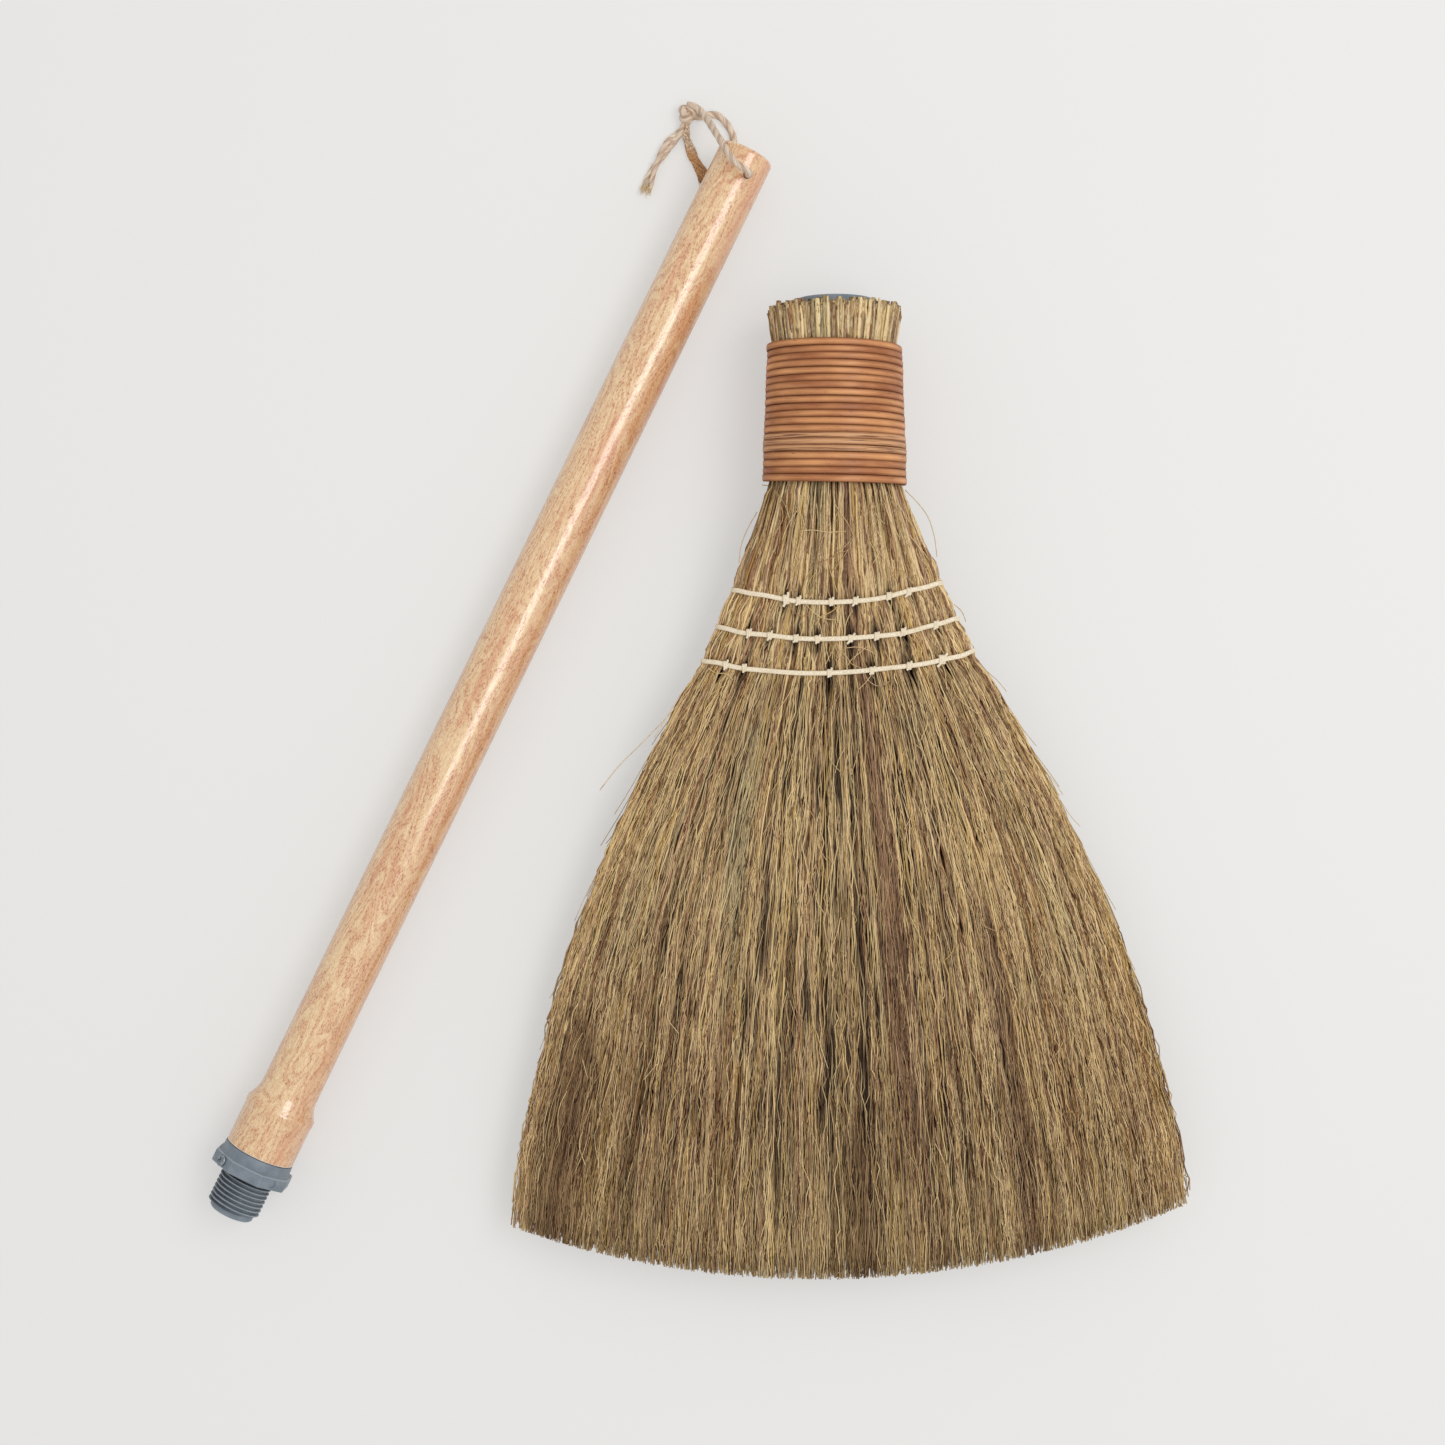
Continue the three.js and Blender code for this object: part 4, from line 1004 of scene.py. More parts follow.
def octagon_nut():
    bpy.ops.mesh.primitive_cylinder_add(
        vertices=8,
        radius=NUT_ACROSS / 2 / math.cos(math.pi / 8) * MM,
        depth=NUT_HEIGHT * MM,
        location=(0, NUT_HEIGHT / 2 * MM, 0),
        rotation=(math.pi / 2, 0, 0),
    )
    nut = bpy.context.active_object
    select_only(nut)
    bpy.ops.object.transform_apply(location=True, rotation=True, scale=True)
    nut.data.transform(Matrix.Rotation(math.pi / 8, 4, "Y"))
    limit = {"limit_method": "ANGLE", "angle_limit": math.radians(40)}
    apply_modifier(nut, "BEVEL", width=0.45 * MM, segments=3, **limit)
    cut(nut, drill(SLEEVE_BORE, 2 * NUT_HEIGHT, (0, NUT_HEIGHT + BORE_END, 0), (0, 1, 0), 64))
    cut(nut, drill(BORE_RADIUS, 4 * NUT_HEIGHT, (0, 0, 0), (0, 1, 0), 64))
    drill_facet(nut, -1, 1.5, 8)
    drill_facet(nut, 1, 1.6, 0.8)
    return nut


def threaded_adapter(plastic):
    stem = adapter_stem()
    nut = octagon_nut()
    sleeve = [
        (SLEEVE_BORE, NUT_HEIGHT - 0.5),
        (SKIRT_RADIUS + 0.5, NUT_HEIGHT - 0.5),
        (SKIRT_RADIUS + 0.5, NUT_HEIGHT + 0.05),
        (SKIRT_RADIUS + 0.12, NUT_HEIGHT + 0.45),
        (SKIRT_RADIUS, SKIRT_TOP - 0.5),
        (SKIRT_RADIUS - 0.15, SKIRT_TOP - 0.12),
        (SKIRT_RADIUS - 0.5, SKIRT_TOP),
        (SLEEVE_RADIUS, SKIRT_TOP),
        (SLEEVE_RADIUS, SLEEVE_TOP),
        (SLEEVE_BORE, SLEEVE_TOP),
    ]
    adapter = joined("pipe_thread_adapter", stem, nut, turned("sleeve", sleeve))
    smooth_sides(adapter, 30)
    place_on_handle(adapter)
    dress(adapter, plastic, "handle", "grey_plastic", "threaded_adapter")


def cross_screw():
    """A pan head with a raised rim and a cross recess"""
    seat = NUT_ACROSS / 2 + 0.3
    outline = [(0, seat - SCREW_LENGTH), (SHANK_RADIUS, seat - SHANK_LENGTH)]
    outline += [(SHANK_RADIUS, seat), (2.3, seat), (2.36, seat + 0.3), (2.2, seat + 0.66)]
    outline += [(1.85, seat + 0.86), (1.5, seat + 0.9), (1.3, seat + 0.78), (0, seat + 0.72)]
    screw = turned("cross_screw", outline, 48)
    recess = Matrix.Translation((0, (seat + 0.72) * MM, 0))
    for angle in (0.4, 0.4 + math.pi / 2):
        bpy.ops.mesh.primitive_cube_add(size=MM)
        slot = bpy.context.active_object
        turn = Matrix.Rotation(angle, 4, "Y")
        slot.data.transform(recess @ turn @ Matrix.Diagonal((2.2, 0.9, 0.5, 1)))
        cut(screw, slot)
    # The screw was turned about Y, and its head now goes to the upper left.
    lay = Matrix.Rotation(-math.pi / 4, 4, "Y") @ Matrix.Rotation(math.pi / 2, 4, "X")
    screw.data.transform(Matrix.Translation((0, NUT_HEIGHT / 2 * MM, 0)) @ lay)
    smooth_sides(screw, 35)
    place_on_handle(screw)
    dress(screw, steel_finish(), "handle", "screw_metal", "adapter_screw")


def film_outline(inset):
    """The film's cuff, bead, flare, stick and rounded end, at a depth under its surface"""
    cuff = SLEEVE_RADIUS + CUFF_STANDOFF
    bead = cuff + BEAD_HEIGHT
    outline = [(cuff, SKIRT_TOP + 0.3), (cuff, CUFF_END), (cuff + 0.06, 25.8), (bead, 26.5)]
    outline += [(bead + 0.04, 27.4), (bead, 28.2)]
    for part in np.linspace(0, 1, 8):
        radius = lerp(bead, FLARE_RADIUS, math.sin(part * math.pi / 2))
        outline.append((radius, lerp(FLARE_START, FLARE_END, part)))
    outline += [(11.36, 60), (GRIP_RADIUS, STICK_LENGTH - END_ROUND)]
    outline = [(radius - inset, y) for radius, y in outline]
    rounded = END_ROUND - inset
    for angle in np.linspace(0, math.pi / 2, 7)[1:]:
        y = STICK_LENGTH - END_ROUND + rounded * math.sin(angle)
        outline.append((GRIP_RADIUS - END_ROUND + rounded * math.cos(angle), y))
    return outline + [(6.5, STICK_LENGTH - inset)]


def grain_film():
    film = turned("wood_grain_film", film_outline(0) + film_outline(FILM_WALL)[::-1], 128)
    direction = (math.sin(HOLE_TILT), 0, math.cos(HOLE_TILT))
    cut(film, drill(HOLE_RADIUS, 40, (0, STICK_LENGTH - HOLE_FROM_END, 0), direction, 48))
    smooth_sides(film, 30)
    place_on_handle(film)
    dress(film, film_finish(), "handle", "printed_film", "grain_film_sleeve")


def turned_rod():
    """The rod's own shape is right, so it only gets its wood."""
    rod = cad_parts["handle_rod"]
    rod.data.materials.clear()
    rod.data.materials.append(wood_finish())


def socket_fitting(plastic):
    """The threaded socket in the neck, open at its rim and, below its floor, at the bottom"""
    pipe_bore, floor_top, floor_bottom = 10.2, -18, -21
    outline = [
        (pipe_bore, floor_bottom),
        (pipe_bore, -SOCKET_LENGTH),
        (SOCKET_RADIUS - 0.4, -SOCKET_LENGTH),
        (SOCKET_RADIUS, -SOCKET_LENGTH + 0.4),
        (SOCKET_RADIUS, -0.9),
        (SOCKET_RADIUS - 0.25, -0.35),
        (SOCKET_RADIUS - 0.8, 0),
        (COLLAR_RADIUS + 0.45, 0),
        (COLLAR_RADIUS + 0.3, -0.15),
        (COLLAR_RADIUS + 0.3, -COLLAR_LENGTH - 0.3),
    ]
    thread = thread_rings(floor_top, -COLLAR_LENGTH - 0.35, THREAD_FIT)[::-1]
    floor = plain_rings([(8, floor_top), (0.02, floor_top), (0.02, floor_bottom)])
    socket = round_shell("neck_socket", plain_rings(outline), thread, floor)
    smooth_sides(socket, 35)
    socket.data.transform(Matrix.Translation(Vector(HEAD_PLACE) * MM))
    dress(socket, plastic, "head", "grey_plastic", "socket_fitting")


# The straws. Each long one stands in the ring round the socket, comes to lie in the sewn rows
# and ends in the fan. All are made at once, and each bundle or fan piece takes its share of them.

STALKS_PER_BUNDLE = 110
SHOOTS_PER_BUNDLE = 150
FINE_STRAWS_PER_FAN = 1250
FANS = 4
HALVES = 2
SKIN_SHARE = 0.45
UNDER_SHARE = 0.15
DEEPEST_IN = 0.86
JOIN_DEPTHS = (146.5, 152)
CLUMP_TONES = chance.random(220)
DIP_CELLS = chance.random((220, 20))


def stalks():
    """Where each stalk stands, its looks and its ends"""
    count = BUNDLES * STALKS_PER_BUNDLE
    bundle = np.repeat(np.arange(BUNDLES), STALKS_PER_BUNDLE)
    order = np.tile(np.arange(STALKS_PER_BUNDLE), BUNDLES) / STALKS_PER_BUNDLE
    outer = order < SKIN_SHARE
    inner = (order >= SKIN_SHARE) & (order < SKIN_SHARE + UNDER_SHARE)
    outward = chance.uniform(0.06, 0.9, count)
    outward[outer] = 1 - 0.17 * chance.random(outer.sum()) ** 1.3
    outward[inner] = 0.08 * chance.random(inner.sum()) ** 1.4
    around = chance.uniform(-1, 1, count)
    around[outer] = 2 * order[outer] / SKIN_SHARE - 1 + chance.normal(0, 0.03, outer.sum())
    angle = RING_ORDER[bundle] + around * math.radians(15)
    across, through = place_in_rows(bundle, around, outward, angle, outer)
    return {
        "bundle": bundle,
        "angle": angle,
        "outward": outward,
        "across": across,
        "through": through,
        "radius": chance.uniform(0.36, 0.8, count),
        "start": cut_ends(count),
        "join": chance.uniform(*JOIN_DEPTHS, count),
        "tip": FAN_LENGTH - 9 * chance.random(count) ** 2.5,
        **own_looks(across),
    }


def cut_ends(count):
    """Most stalks are cut a little below the rim, and some of them stand higher."""
    return STUB_DEPTH + 0.6 + np.abs(chance.normal(0, 1.3, count)) - chance.random(count) ** 3 * 2.2


def place_in_rows(bundle, around, outward, angle, outer):
    """A stalk's share of the width and thickness where the bundles lie side by side"""
    upper = np.sin(RING_ORDER[bundle]) > 0.1
    lower = np.sin(RING_ORDER[bundle]) < -0.1
    across = (2 * bundle + 1) / BUNDLES - 1 + np.where(upper, -around, around) / BUNDLES
    through = np.where(upper, 2 * outward - 1, 1 - 2 * outward)
    through = np.clip(through, -DEEPEST_IN, DEEPEST_IN)
    # The outer stalks spread evenly over the upper and the under side.
    on_skin = outer & (upper | lower)
    skin_through = np.where(upper, 1, -1) * (1 - 1.3 * (1 - outward))
    across = np.where(on_skin, 1 - np.abs(angle) * 2 / math.pi, across)
    through = np.where(on_skin, skin_through, through)
    for edge, side in ((0, -1), (BUNDLES - 1, 1)):
        mine = bundle == edge
        across[mine] = side * (1 - (1 - outward[mine]) * 2 / BUNDLES)
        through[mine] = side * around[mine]
    return np.clip(across, -0.995, 0.995), np.clip(through, -1, 1)


def evenly_across(count):
    """Places across the straw and the bundles they lie in"""
    across = (np.arange(count) + chance.random(count)) / count * 2 - 1
    return across, np.minimum((across + 1) / 2 * BUNDLES, BUNDLES - 1).astype(int)


def shoots():
    """Thinner stems that leave the bundles round the sewn rows"""
    count = BUNDLES * SHOOTS_PER_BUNDLE
    across, bundle = evenly_across(count)
    return {
        "bundle": bundle,
        "across": np.clip(across + chance.normal(0, 0.01, count), -0.99, 0.99),
        "through": layer_share(count),
        "radius": chance.uniform(0.42, 0.72, count),
        "start": 68 + 70 * chance.random(count) ** 1.4,
        "join": chance.uniform(*JOIN_DEPTHS, count),
        "tip": FAN_LENGTH + 1 - 12 * chance.random(count) ** 2.2,
        **own_looks(across),
    }


def fine_straws():
    """The thinnest stems, which start between the rows and the middle of the fan"""
    count = FANS * FINE_STRAWS_PER_FAN
    across, bundle = evenly_across(count)
    straws = {
        "bundle": bundle,
        "across": np.clip(across, -0.99, 0.99),
        "through": layer_share(count),
        "radius": chance.uniform(0.45, 0.78, count),
        "join": chance.uniform(150, 285, count),
        "tip": FAN_LENGTH + 1.5 - 18 * chance.random(count) ** 2.2,
        **own_looks(across),
    }
    straws["lean"] = straws["lean"] * 1.8
    return straws


def layer_share(count):
    """Most stems lie in the upper layers, some in the lower ones and a few between"""
    upper = 1 - 0.22 * chance.random(count) ** 1.2
    lower = -1 + 0.3 * chance.random(count) ** 1.2
    kind = chance.random(count)
    return np.select([kind < 0.62, kind < 0.84], [upper, lower], chance.uniform(-0.8, 0.8, count))


def own_looks(across):
    """Each straw's waves, tone and hue. Straws that lie together are partly alike."""
    count = len(across)
    clumps = len(CLUMP_TONES)
    clump = CLUMP_TONES[np.clip((across + 1) * clumps / 2, 0, clumps - 1).astype(int)]
    return {
        "lean": chance.normal(0, 0.012, count),
        "rise": chance.normal(0, 0.02, count),
        "wander": chance.normal(0, 1, (count, 5)),
        "tone": 0.75 * chance.random(count) + 0.25 * clump,
        "hue": chance.random(count),
        "dye": chance.random((count, 3)),
    }


def column(values):
    return np.asarray(values)[:, None]


def in_ring(straws, depth):
    """x and z in the ring round the socket"""
    full = SOCKET_RADIUS + 0.6
    hollow = full * (1 - share(depth, SOCKET_LENGTH, SOCKET_LENGTH + 14))
    radius, outward, angle = (column(straws[key]) for key in ("radius", "outward", "angle"))
    x = lerp(hollow, half_width(depth) - radius, outward) * np.cos(angle)
    z = lerp(hollow, half_thickness(depth) - radius, outward) * np.sin(angle)
    return x, z


def in_rows(straws, depth):
    """x and z in the sewn rows and the fan"""
    opened = smooth(depth, ROW_DEPTHS[2], FAN_LENGTH)
    loose = flattened(depth)
    radius = column(straws["radius"]) * 0.5
    phases = 3 * straws["wander"]
    across = column(straws["across"]) + column(straws["lean"]) * opened
    width = half_width(depth) - radius
    slow = np.sin(depth / 46 + column(phases[:, 0])) * (0.25 * loose + 1.3 * opened)
    quick = np.sin(depth / 11 + column(phases[:, 1])) * (0.25 * loose + 0.4 * opened)
    waving = column(0.5 + 0.5 * np.abs(straws["wander"][:, 2]))
    x = width * np.clip(across, -1.01, 1.01) + (slow + quick) * waving
    through = np.clip(column(straws["through"]) + column(straws["rise"]) * opened, -1, 1)
    sunk = np.abs(np.sin(depth / 24 + column(phases[:, 3]))) * (0.15 * loose + 0.3 * opened)
    dipping = 0.4 * loose + 0.6 * smooth(depth, ROW_DEPTHS[2], LOOSE_DEPTH)
    sunk = sunk + 1.25 * dips(across, depth) * dipping
    z = (surface_height(across, depth) - radius) * through
    return x, z - np.minimum(sunk, np.abs(z)) * np.sign(through)


def dips(across, depth):
    """Narrow hollows that run along the straw here and there, from 0 to 1"""
    wide, long = DIP_CELLS.shape
    i = np.clip((across + 1.02) / 2.04, 0, 0.999) * (wide - 1)
    j = np.clip(depth / 400, 0, 0.999) * (long - 1)
    row, col = i.astype(int), j.astype(int)
    start = lerp(DIP_CELLS[row, col], DIP_CELLS[row + 1, col], i - row)
    end = lerp(DIP_CELLS[row, col + 1], DIP_CELLS[row + 1, col + 1], i - row)
    return smooth(lerp(start, end, j - col), 0.55, 0.85)


def part_at_ties(depth, x, z, on_top):
    """Straws step aside from the ties, which pull them down."""
    for row, ties in zip(ROW_DEPTHS, TIES):
        near = hump(depth, row, 6.2)
        for tie in ties:
            away = x - half_width(depth) * tie
            aside = 0.95 * near * np.exp(-np.abs(away) / 1.5)
            x = x + on_top * np.sign(away) * aside
            z = z * (1 - 0.13 * near * hump(away, 0, 2.2))
    return x, z


def straw_lines(straws, depth):
    """Centre lines of straws at depths of (straws, levels)"""
    x, z = in_rows(straws, depth)
    if "angle" in straws:
        ring_x, ring_z = in_ring(straws, depth)
        x = lerp(ring_x, x, smooth(depth, 66, 114))
        rising = column(straws["outward"] < 0.1)
        z = lerp(ring_z, z, np.where(rising, smooth(depth, 60, 104), flattened(depth)))
    on_top = column(np.abs(straws["through"]) > 0.6)
    x, z = part_at_ties(depth, x, z, on_top)
    # Straws are crinkled, but meet where their pieces join.
    kink = np.interp(depth, [8, 20, 72, 110, 200], [0.32, 0.03, 0.08, 0.32, 0.55])
    kink = kink * (np.abs(depth - column(straws["join"])) > 0.1)
    x = x + kink * chance.normal(size=depth.shape)
    z = z + 0.4 * kink * chance.normal(size=depth.shape)
    return in_head(depth, x, z)


def stains(across, depth):
    """How much purple-brown, green and dark brown there is at each place, as in the photograph"""
    middle = np.interp(depth, [73, 120, 150, 300, 380], [0.1, 0.1, 0.17, 0.2, 0.27])
    purple = hump(across, middle, 0.07)
    purple = purple * np.interp(depth, [20, 73, 130, 300, 380], [0.3, 0.85, 0.75, 0.7, 0.4])
    purple += 0.6 * hump(across, 0.55, 0.06) * smooth(depth, 200, 260)
    purple += 0.25 * hump(across, 0.75, 0.12) * (1 - smooth(depth, 90, 150))
    green = 0.8 * hump(across, np.interp(depth, [140, 175, 282], [-0.5, -0.49, -0.4]), 0.07)
    green = green * hump(depth, 215, 85)
    green += 0.6 * hump(across, -0.25, 0.16) * (1 - smooth(depth, 120, 150))
    green += 0.4 * hump(across, 0.42, 0.06) * (1 - smooth(depth, 110, 130))
    green += 0.5 * hump(across, 0.83, 0.07) * hump(depth, 258, 40)
    green += 0.5 * hump(across, -0.8, 0.1) * hump(depth, 250, 50)
    dark = 0.5 * hump(across, 0.04, 0.06) * smooth(depth, 300, 340)
    # Darker over the fan's left side and its middle, from about 190 mm down
    below = smooth(depth, 190, 250)
    dark += 0.33 * hump(across, -0.8, 0.3) * below + 0.3 * hump(across, 0.02, 0.14) * below
    dark += 0.7 * hump(across, -0.89, 0.07) * smooth(depth, 270, 310)
    return np.stack([purple, green, dark], axis=-1)


def colour_straws(piece, straws, depth, across, inside, sides):
    """Each straw's own tone, painted shade for lying inside the bundle and on its lower flanks, and
    its stains
    """
    taken = smooth(stains(across, depth) + 0.5 * column(straws["dye"]) - 0.25, 0.25, 0.75)
    upward = np.sin(side_angles(sides)) * column(np.sign(straws["through"]))
    # The painted shade on the straws' lower flanks is weaker at the broom's sides, where they face
    # out.
    beside = 0.6 * smooth(np.abs(across), 0.9, 1)[..., None]
    lightness = lerp(0.68 + 0.32 * upward[:, None], 1, beside)
    shade = 1 - (1 - inside[..., None]) * lightness
    lighter = 0.13 * hump(depth, 205, 70) + 0.12 * smooth(depth, 325, 375)
    own = np.ones((*shade.shape, 4))
    own[..., 0] = (column(straws["tone"]) + lighter)[..., None]
    own[..., 1] = straws["hue"][:, None, None]
    own[..., 2] = shade
    stained = np.concatenate([taken, np.ones((*depth.shape, 1))], axis=-1)
    give_colours(piece, "tone_hue_and_painted_shade", own)
    give_colours(piece, "stain", np.repeat(stained, sides, axis=1))


def below_surface(depth, across, height):
    """How far a place in the straw lies under its surface"""
    power = lerp(2, 3, flattened(depth))
    thick = half_thickness(depth)
    rim = (np.abs(across) ** power + np.abs(height / thick) ** power) ** (1 / power)
    return (1 - rim) * thick


def straw_piece(name, straws, depth, radii, sides):
    lines = straw_lines(straws, depth)
    rings = ring_points(lines, radii, radii, sides)
    rings[..., 2] = np.maximum(rings[..., 2], 0.05)
    piece = tube_piece(name, rings)
    middle = HEAD_PLACE[2] + sag(depth)
    across = (lines[..., 0] - HEAD_PLACE[0] - drift(depth)) / half_width(depth)
    # Painted shade: the deeper a straw lies under the surface, the darker it is, less so at the cut
    # ends and the tips.
    under = below_surface(depth, across, lines[..., 2] - middle) - radii * 0.8
    deep = np.interp(depth, [20, 60, 76, 118, 150], [1.0, 1.5, 3.2, 2.0, 1.5])
    dark = smooth(under, 0.1, deep) * np.interp(depth, [6, 14, 315, 368], [0.35, 1, 1, 0.2])
    colour_straws(piece, straws, depth, across, dark, sides)
    smooth_sides(piece, 100 if sides > 3 else 180)
    return piece


STALK_LEVELS = (7, 11, 19, 45, 66, 73, 76, 80, 85, 90, 95, 100, 105, 109, 113.5, 117.7, 122)
STALK_LEVELS += (126, 129, 132, 136, 140.5, 145)
SHOOT_STEPS = 12
STALK_SIDES = 4
FAN_SIDES = 3
LONG_FAN_STEPS = 30
FINE_FAN_STEPS = 26


def chosen_straws(straws, chosen):
    return {key: values[chosen] for key, values in straws.items()}


def stem_radius(straws, depth):
    """Stalks are thickest at their cut ends and thinner below the rows."""
    thick_end = lerp(1.4, 1, smooth(depth, 8, 42))
    finer = lerp(1, 0.55, smooth(depth, 88, 155))
    return column(straws["radius"]) * thick_end * finer


def bundle_piece(number, standing, starting):
    levels = np.tile(np.array((0.0, *STALK_LEVELS, 0.0)), (len(standing["tone"]), 1))
    levels[:, 0] = standing["start"]
    levels[:, -1] = standing["join"]
    radii = stem_radius(standing, levels)
    thick = straw_piece("thick", standing, levels, radii, STALK_SIDES)
    part = np.linspace(0, 1, SHOOT_STEPS)
    levels = lerp(column(starting["start"]), column(starting["join"]), part)
    radii = stem_radius(starting, levels) * np.minimum(0.3 + 3 * part, 1)
    thin = straw_piece("thin", starting, levels, radii, STALK_SIDES)
    return joined(f"stalks_{number:02d}", thick, thin)


def fan_tubes(name, straws, steps, begun):
    """Tubes from the join to the tips. Those that begin here start thin."""
    part = np.linspace(0, 1, steps) * np.ones((len(straws["tip"]), 1))
    part[:, 1:-1] += chance.uniform(-0.35, 0.35, (len(part), steps - 2)) / steps
    depth = lerp(column(straws["join"]), column(straws["tip"]), part**1.1)
    radii = stem_radius(straws, depth) * lerp(1.1, 0.72, smooth(depth, 240, FAN_LENGTH))
    if not begun:
        radii = radii * np.minimum(0.3 + 4 * np.linspace(0, 1, steps), 1)
    return straw_piece(name, straws, depth, radii, FAN_SIDES)


def all_straw(straw):
    kinds = [stalks(), shoots(), fine_straws()]
    for i in range(BUNDLES):
        mine = [chosen_straws(kind, kind["bundle"] == i) for kind in kinds[:2]]
        piece = bundle_piece(i + 1, *mine)
        dress(piece, straw, "head", "stalk_straw", f"straw_bundle_{i + 1:02d}")
    for i in range(FANS):
        mine = [chosen_straws(kind, kind["bundle"] // (BUNDLES // FANS) == i) for kind in kinds]
        for half in range(HALVES):
            some = [chosen_straws(kind, slice(half, None, HALVES)) for kind in mine]
            thick = fan_tubes("thick", some[0], LONG_FAN_STEPS, True)
            thin = fan_tubes("thin", some[1], LONG_FAN_STEPS, True)
            finest = fan_tubes("finest", some[2], FINE_FAN_STEPS, False)
            piece = joined(f"straw_fan_{i + 1}_{half + 1}", thick, thin, finest)
            dress(piece, straw, "head", "tip_straw", f"bristle_fan_{i + 1}")


# Split stalks on the stubs, and wiry fibres that lie across the straw

# Ring angle in degrees, width, start depth and tone
SPLIT_STALKS = (
    ((126, 1.5, 3.2, 0.7), (117, 1.3, 4.6, 0.3), (107, 2.3, 3.4, 1.0), (98, 1.4, 2.8, 0.95))
    + ((87, 1.3, 3.6, 0.5), (78, 1.6, 4.4, 0.35), (70, 1.7, 3.0, 0.95), (61, 2.0, 3.4, 0.9))
    + ((52, 1.5, 2.6, 0.7), (40, 1.8, 4.8, 0.95), (31, 1.4, 3.6, 0.6), (147, 1.4, 3.6, 0.5))
)
# Pixels of the photograph that each fibre passes
WIRY_FIBRES = (
    ((762, 485), (769, 486), (776, 492), (785, 505), (790, 519)),
    ((834, 503), (840, 512), (848, 524), (854, 536)),
    ((854, 535), (848, 543), (838, 552), (829, 560)),
    ((854, 536), (849, 548), (841, 560), (832, 571)),
    ((828, 559), (830, 570), (834, 582), (837, 592)),
    ((905, 490), (917, 502), (928, 517), (934, 535), (937, 557)),
    ((757, 512), (747, 530), (741, 546), (739, 563)),
    ((800, 531), (813, 530), (828, 532), (846, 531)),
    ((812, 566), (824, 561), (838, 555), (852, 547)),
    ((806, 604), (812, 611), (823, 618), (836, 620)),
    ((838, 606), (831, 612), (822, 616), (815, 625)),
    ((838, 649), (846, 656), (852, 664), (861, 668)),
    ((869, 644), (862, 651), (852, 659), (846, 668)),
    ((864, 672), (869, 681), (878, 686), (890, 681)),
    ((858, 690), (866, 682), (872, 673), (873, 667)),
    ((880, 673), (884, 684), (893, 694), (897, 703)),
    ((846, 648), (857, 647), (868, 650), (877, 655)),
    ((690, 690), (668, 716), (641, 744), (618, 767), (600, 790)),
    ((946, 596), (952, 606), (953, 618), (949, 629)),
    ((954, 604), (962, 612), (966, 622)),
    ((966, 640), (973, 646), (975, 657)),
    ((708, 668), (716, 673), (727, 674), (733, 680)),
    ((789, 604), (795, 613), (801, 616), (812, 614)),
)

CROSSING_HAIRS = 380
LEAVING_STEMS = 110


def stray_piece(name, straw, depth, rings, looks, sharpest):
    """A piece of stray stalks or hairs, without stains"""
    sides = rings.shape[2]
    looks["through"] = np.ones(len(rings))
    piece = tube_piece(name, rings)
    away = np.full(depth.shape, -2.0)
    colour_straws(piece, looks, depth, away, np.zeros(depth.shape), sides)
    smooth_sides(piece, sharpest)
    dress(piece, straw, "head", "stalk_straw")


def split_stalks(straw):
    """Wide pale stalks, split and flattened, on the upper side of the stubs"""
    degrees, width, start, light = np.transpose(SPLIT_STALKS)
    angle = np.radians(degrees)
    depth = column(start) + np.array((0, 0.5, 5, 12, 18, 24))
    around = xyz(np.cos(angle), 0, np.sin(angle))[:, None]
    radius = half_width(depth) + np.array((0.1, 0.2, 0.2, -0.1, -0.5, -1.0))
    lines = around * radius[..., None] + xyz(0, -depth, 0) + HEAD_PLACE
    widths = column(width) * 0.42 * np.array((0.55, 0.9, 1, 1, 1, 0.9))
    rings = ring_points(lines, widths, np.full(widths.shape, 0.42), 8, around)
    looks = own_looks(np.cos(angle)) | {"tone": light * 0.85, "hue": np.full(len(angle), 0.35)}
    stray_piece("split_stalks", straw, depth, rings, looks, 80)


def hair_piece(name, straw, lines, thickness):
    radii = np.full(lines.shape[:2], thickness)
    rings = ring_points(lines, radii, radii, 4)
    looks = own_looks(chance.uniform(-1, 1, len(lines)))
    looks["tone"] = 0.45 + 0.35 * looks["tone"]
    stray_piece(name, straw, np.full(lines.shape[:2], -2.0), rings, looks, 180)


def wiry_fibres(straw):
    """Thin stray fibres over the straw"""
    levels = 16
    lines = []
    for pixels in WIRY_FIBRES:
        points = np.array([on_straw(*pixel, 0.45) for pixel in pixels])
        lines.append(smooth_route(points, step_lengths(points).sum() / (levels - 1))[:levels])
    hair_piece("wiry_fibres", straw, np.array(lines), 0.16)


def stray_hairs(straw):
    """Hairs that cross the straw, and thin stems that stand away from the fan's sides"""
    part = np.linspace(0, 1, 9)

    def each(count, low, high):
        return chance.uniform(low, high, (count, 1))

    count = CROSSING_HAIRS
    depth = 80 + 270 * chance.random((count, 1)) ** 1.5 + each(count, 6, 22) * part
    slope = each(count, -5, 5) * part + chance.normal(0, 0.9, (count, 1)) * np.sin(part * 4)
    across = np.clip(each(count, -0.93, 0.93) + slope / half_width(depth), -0.96, 0.96)
    side = np.where(np.arange(count) % 4, 1, -1)[:, None]
    height = side * (surface_height(across, depth) + 0.1 + 0.3 * np.sin(part * math.pi))
    crossing = in_head(depth, across * half_width(depth), height)
    count = LEAVING_STEMS
    depth = each(count, 128, 335) + each(count, 20, 55) * part
    away = each(count, 0.2, 4.5) * part**1.7 + 0.3 * np.sin(part * 9 + each(count, 0, 6))
    side = np.where(np.arange(count) % 2, 1, -1)[:, None]
    height = each(count, -0.3, 0.4) * half_thickness(depth)
    leaving = in_head(depth, side * (half_width(depth) - 0.9 + away), height)
    hair_piece("stray_hairs", straw, np.concatenate([crossing, leaving]), 0.13)


# The wound canes

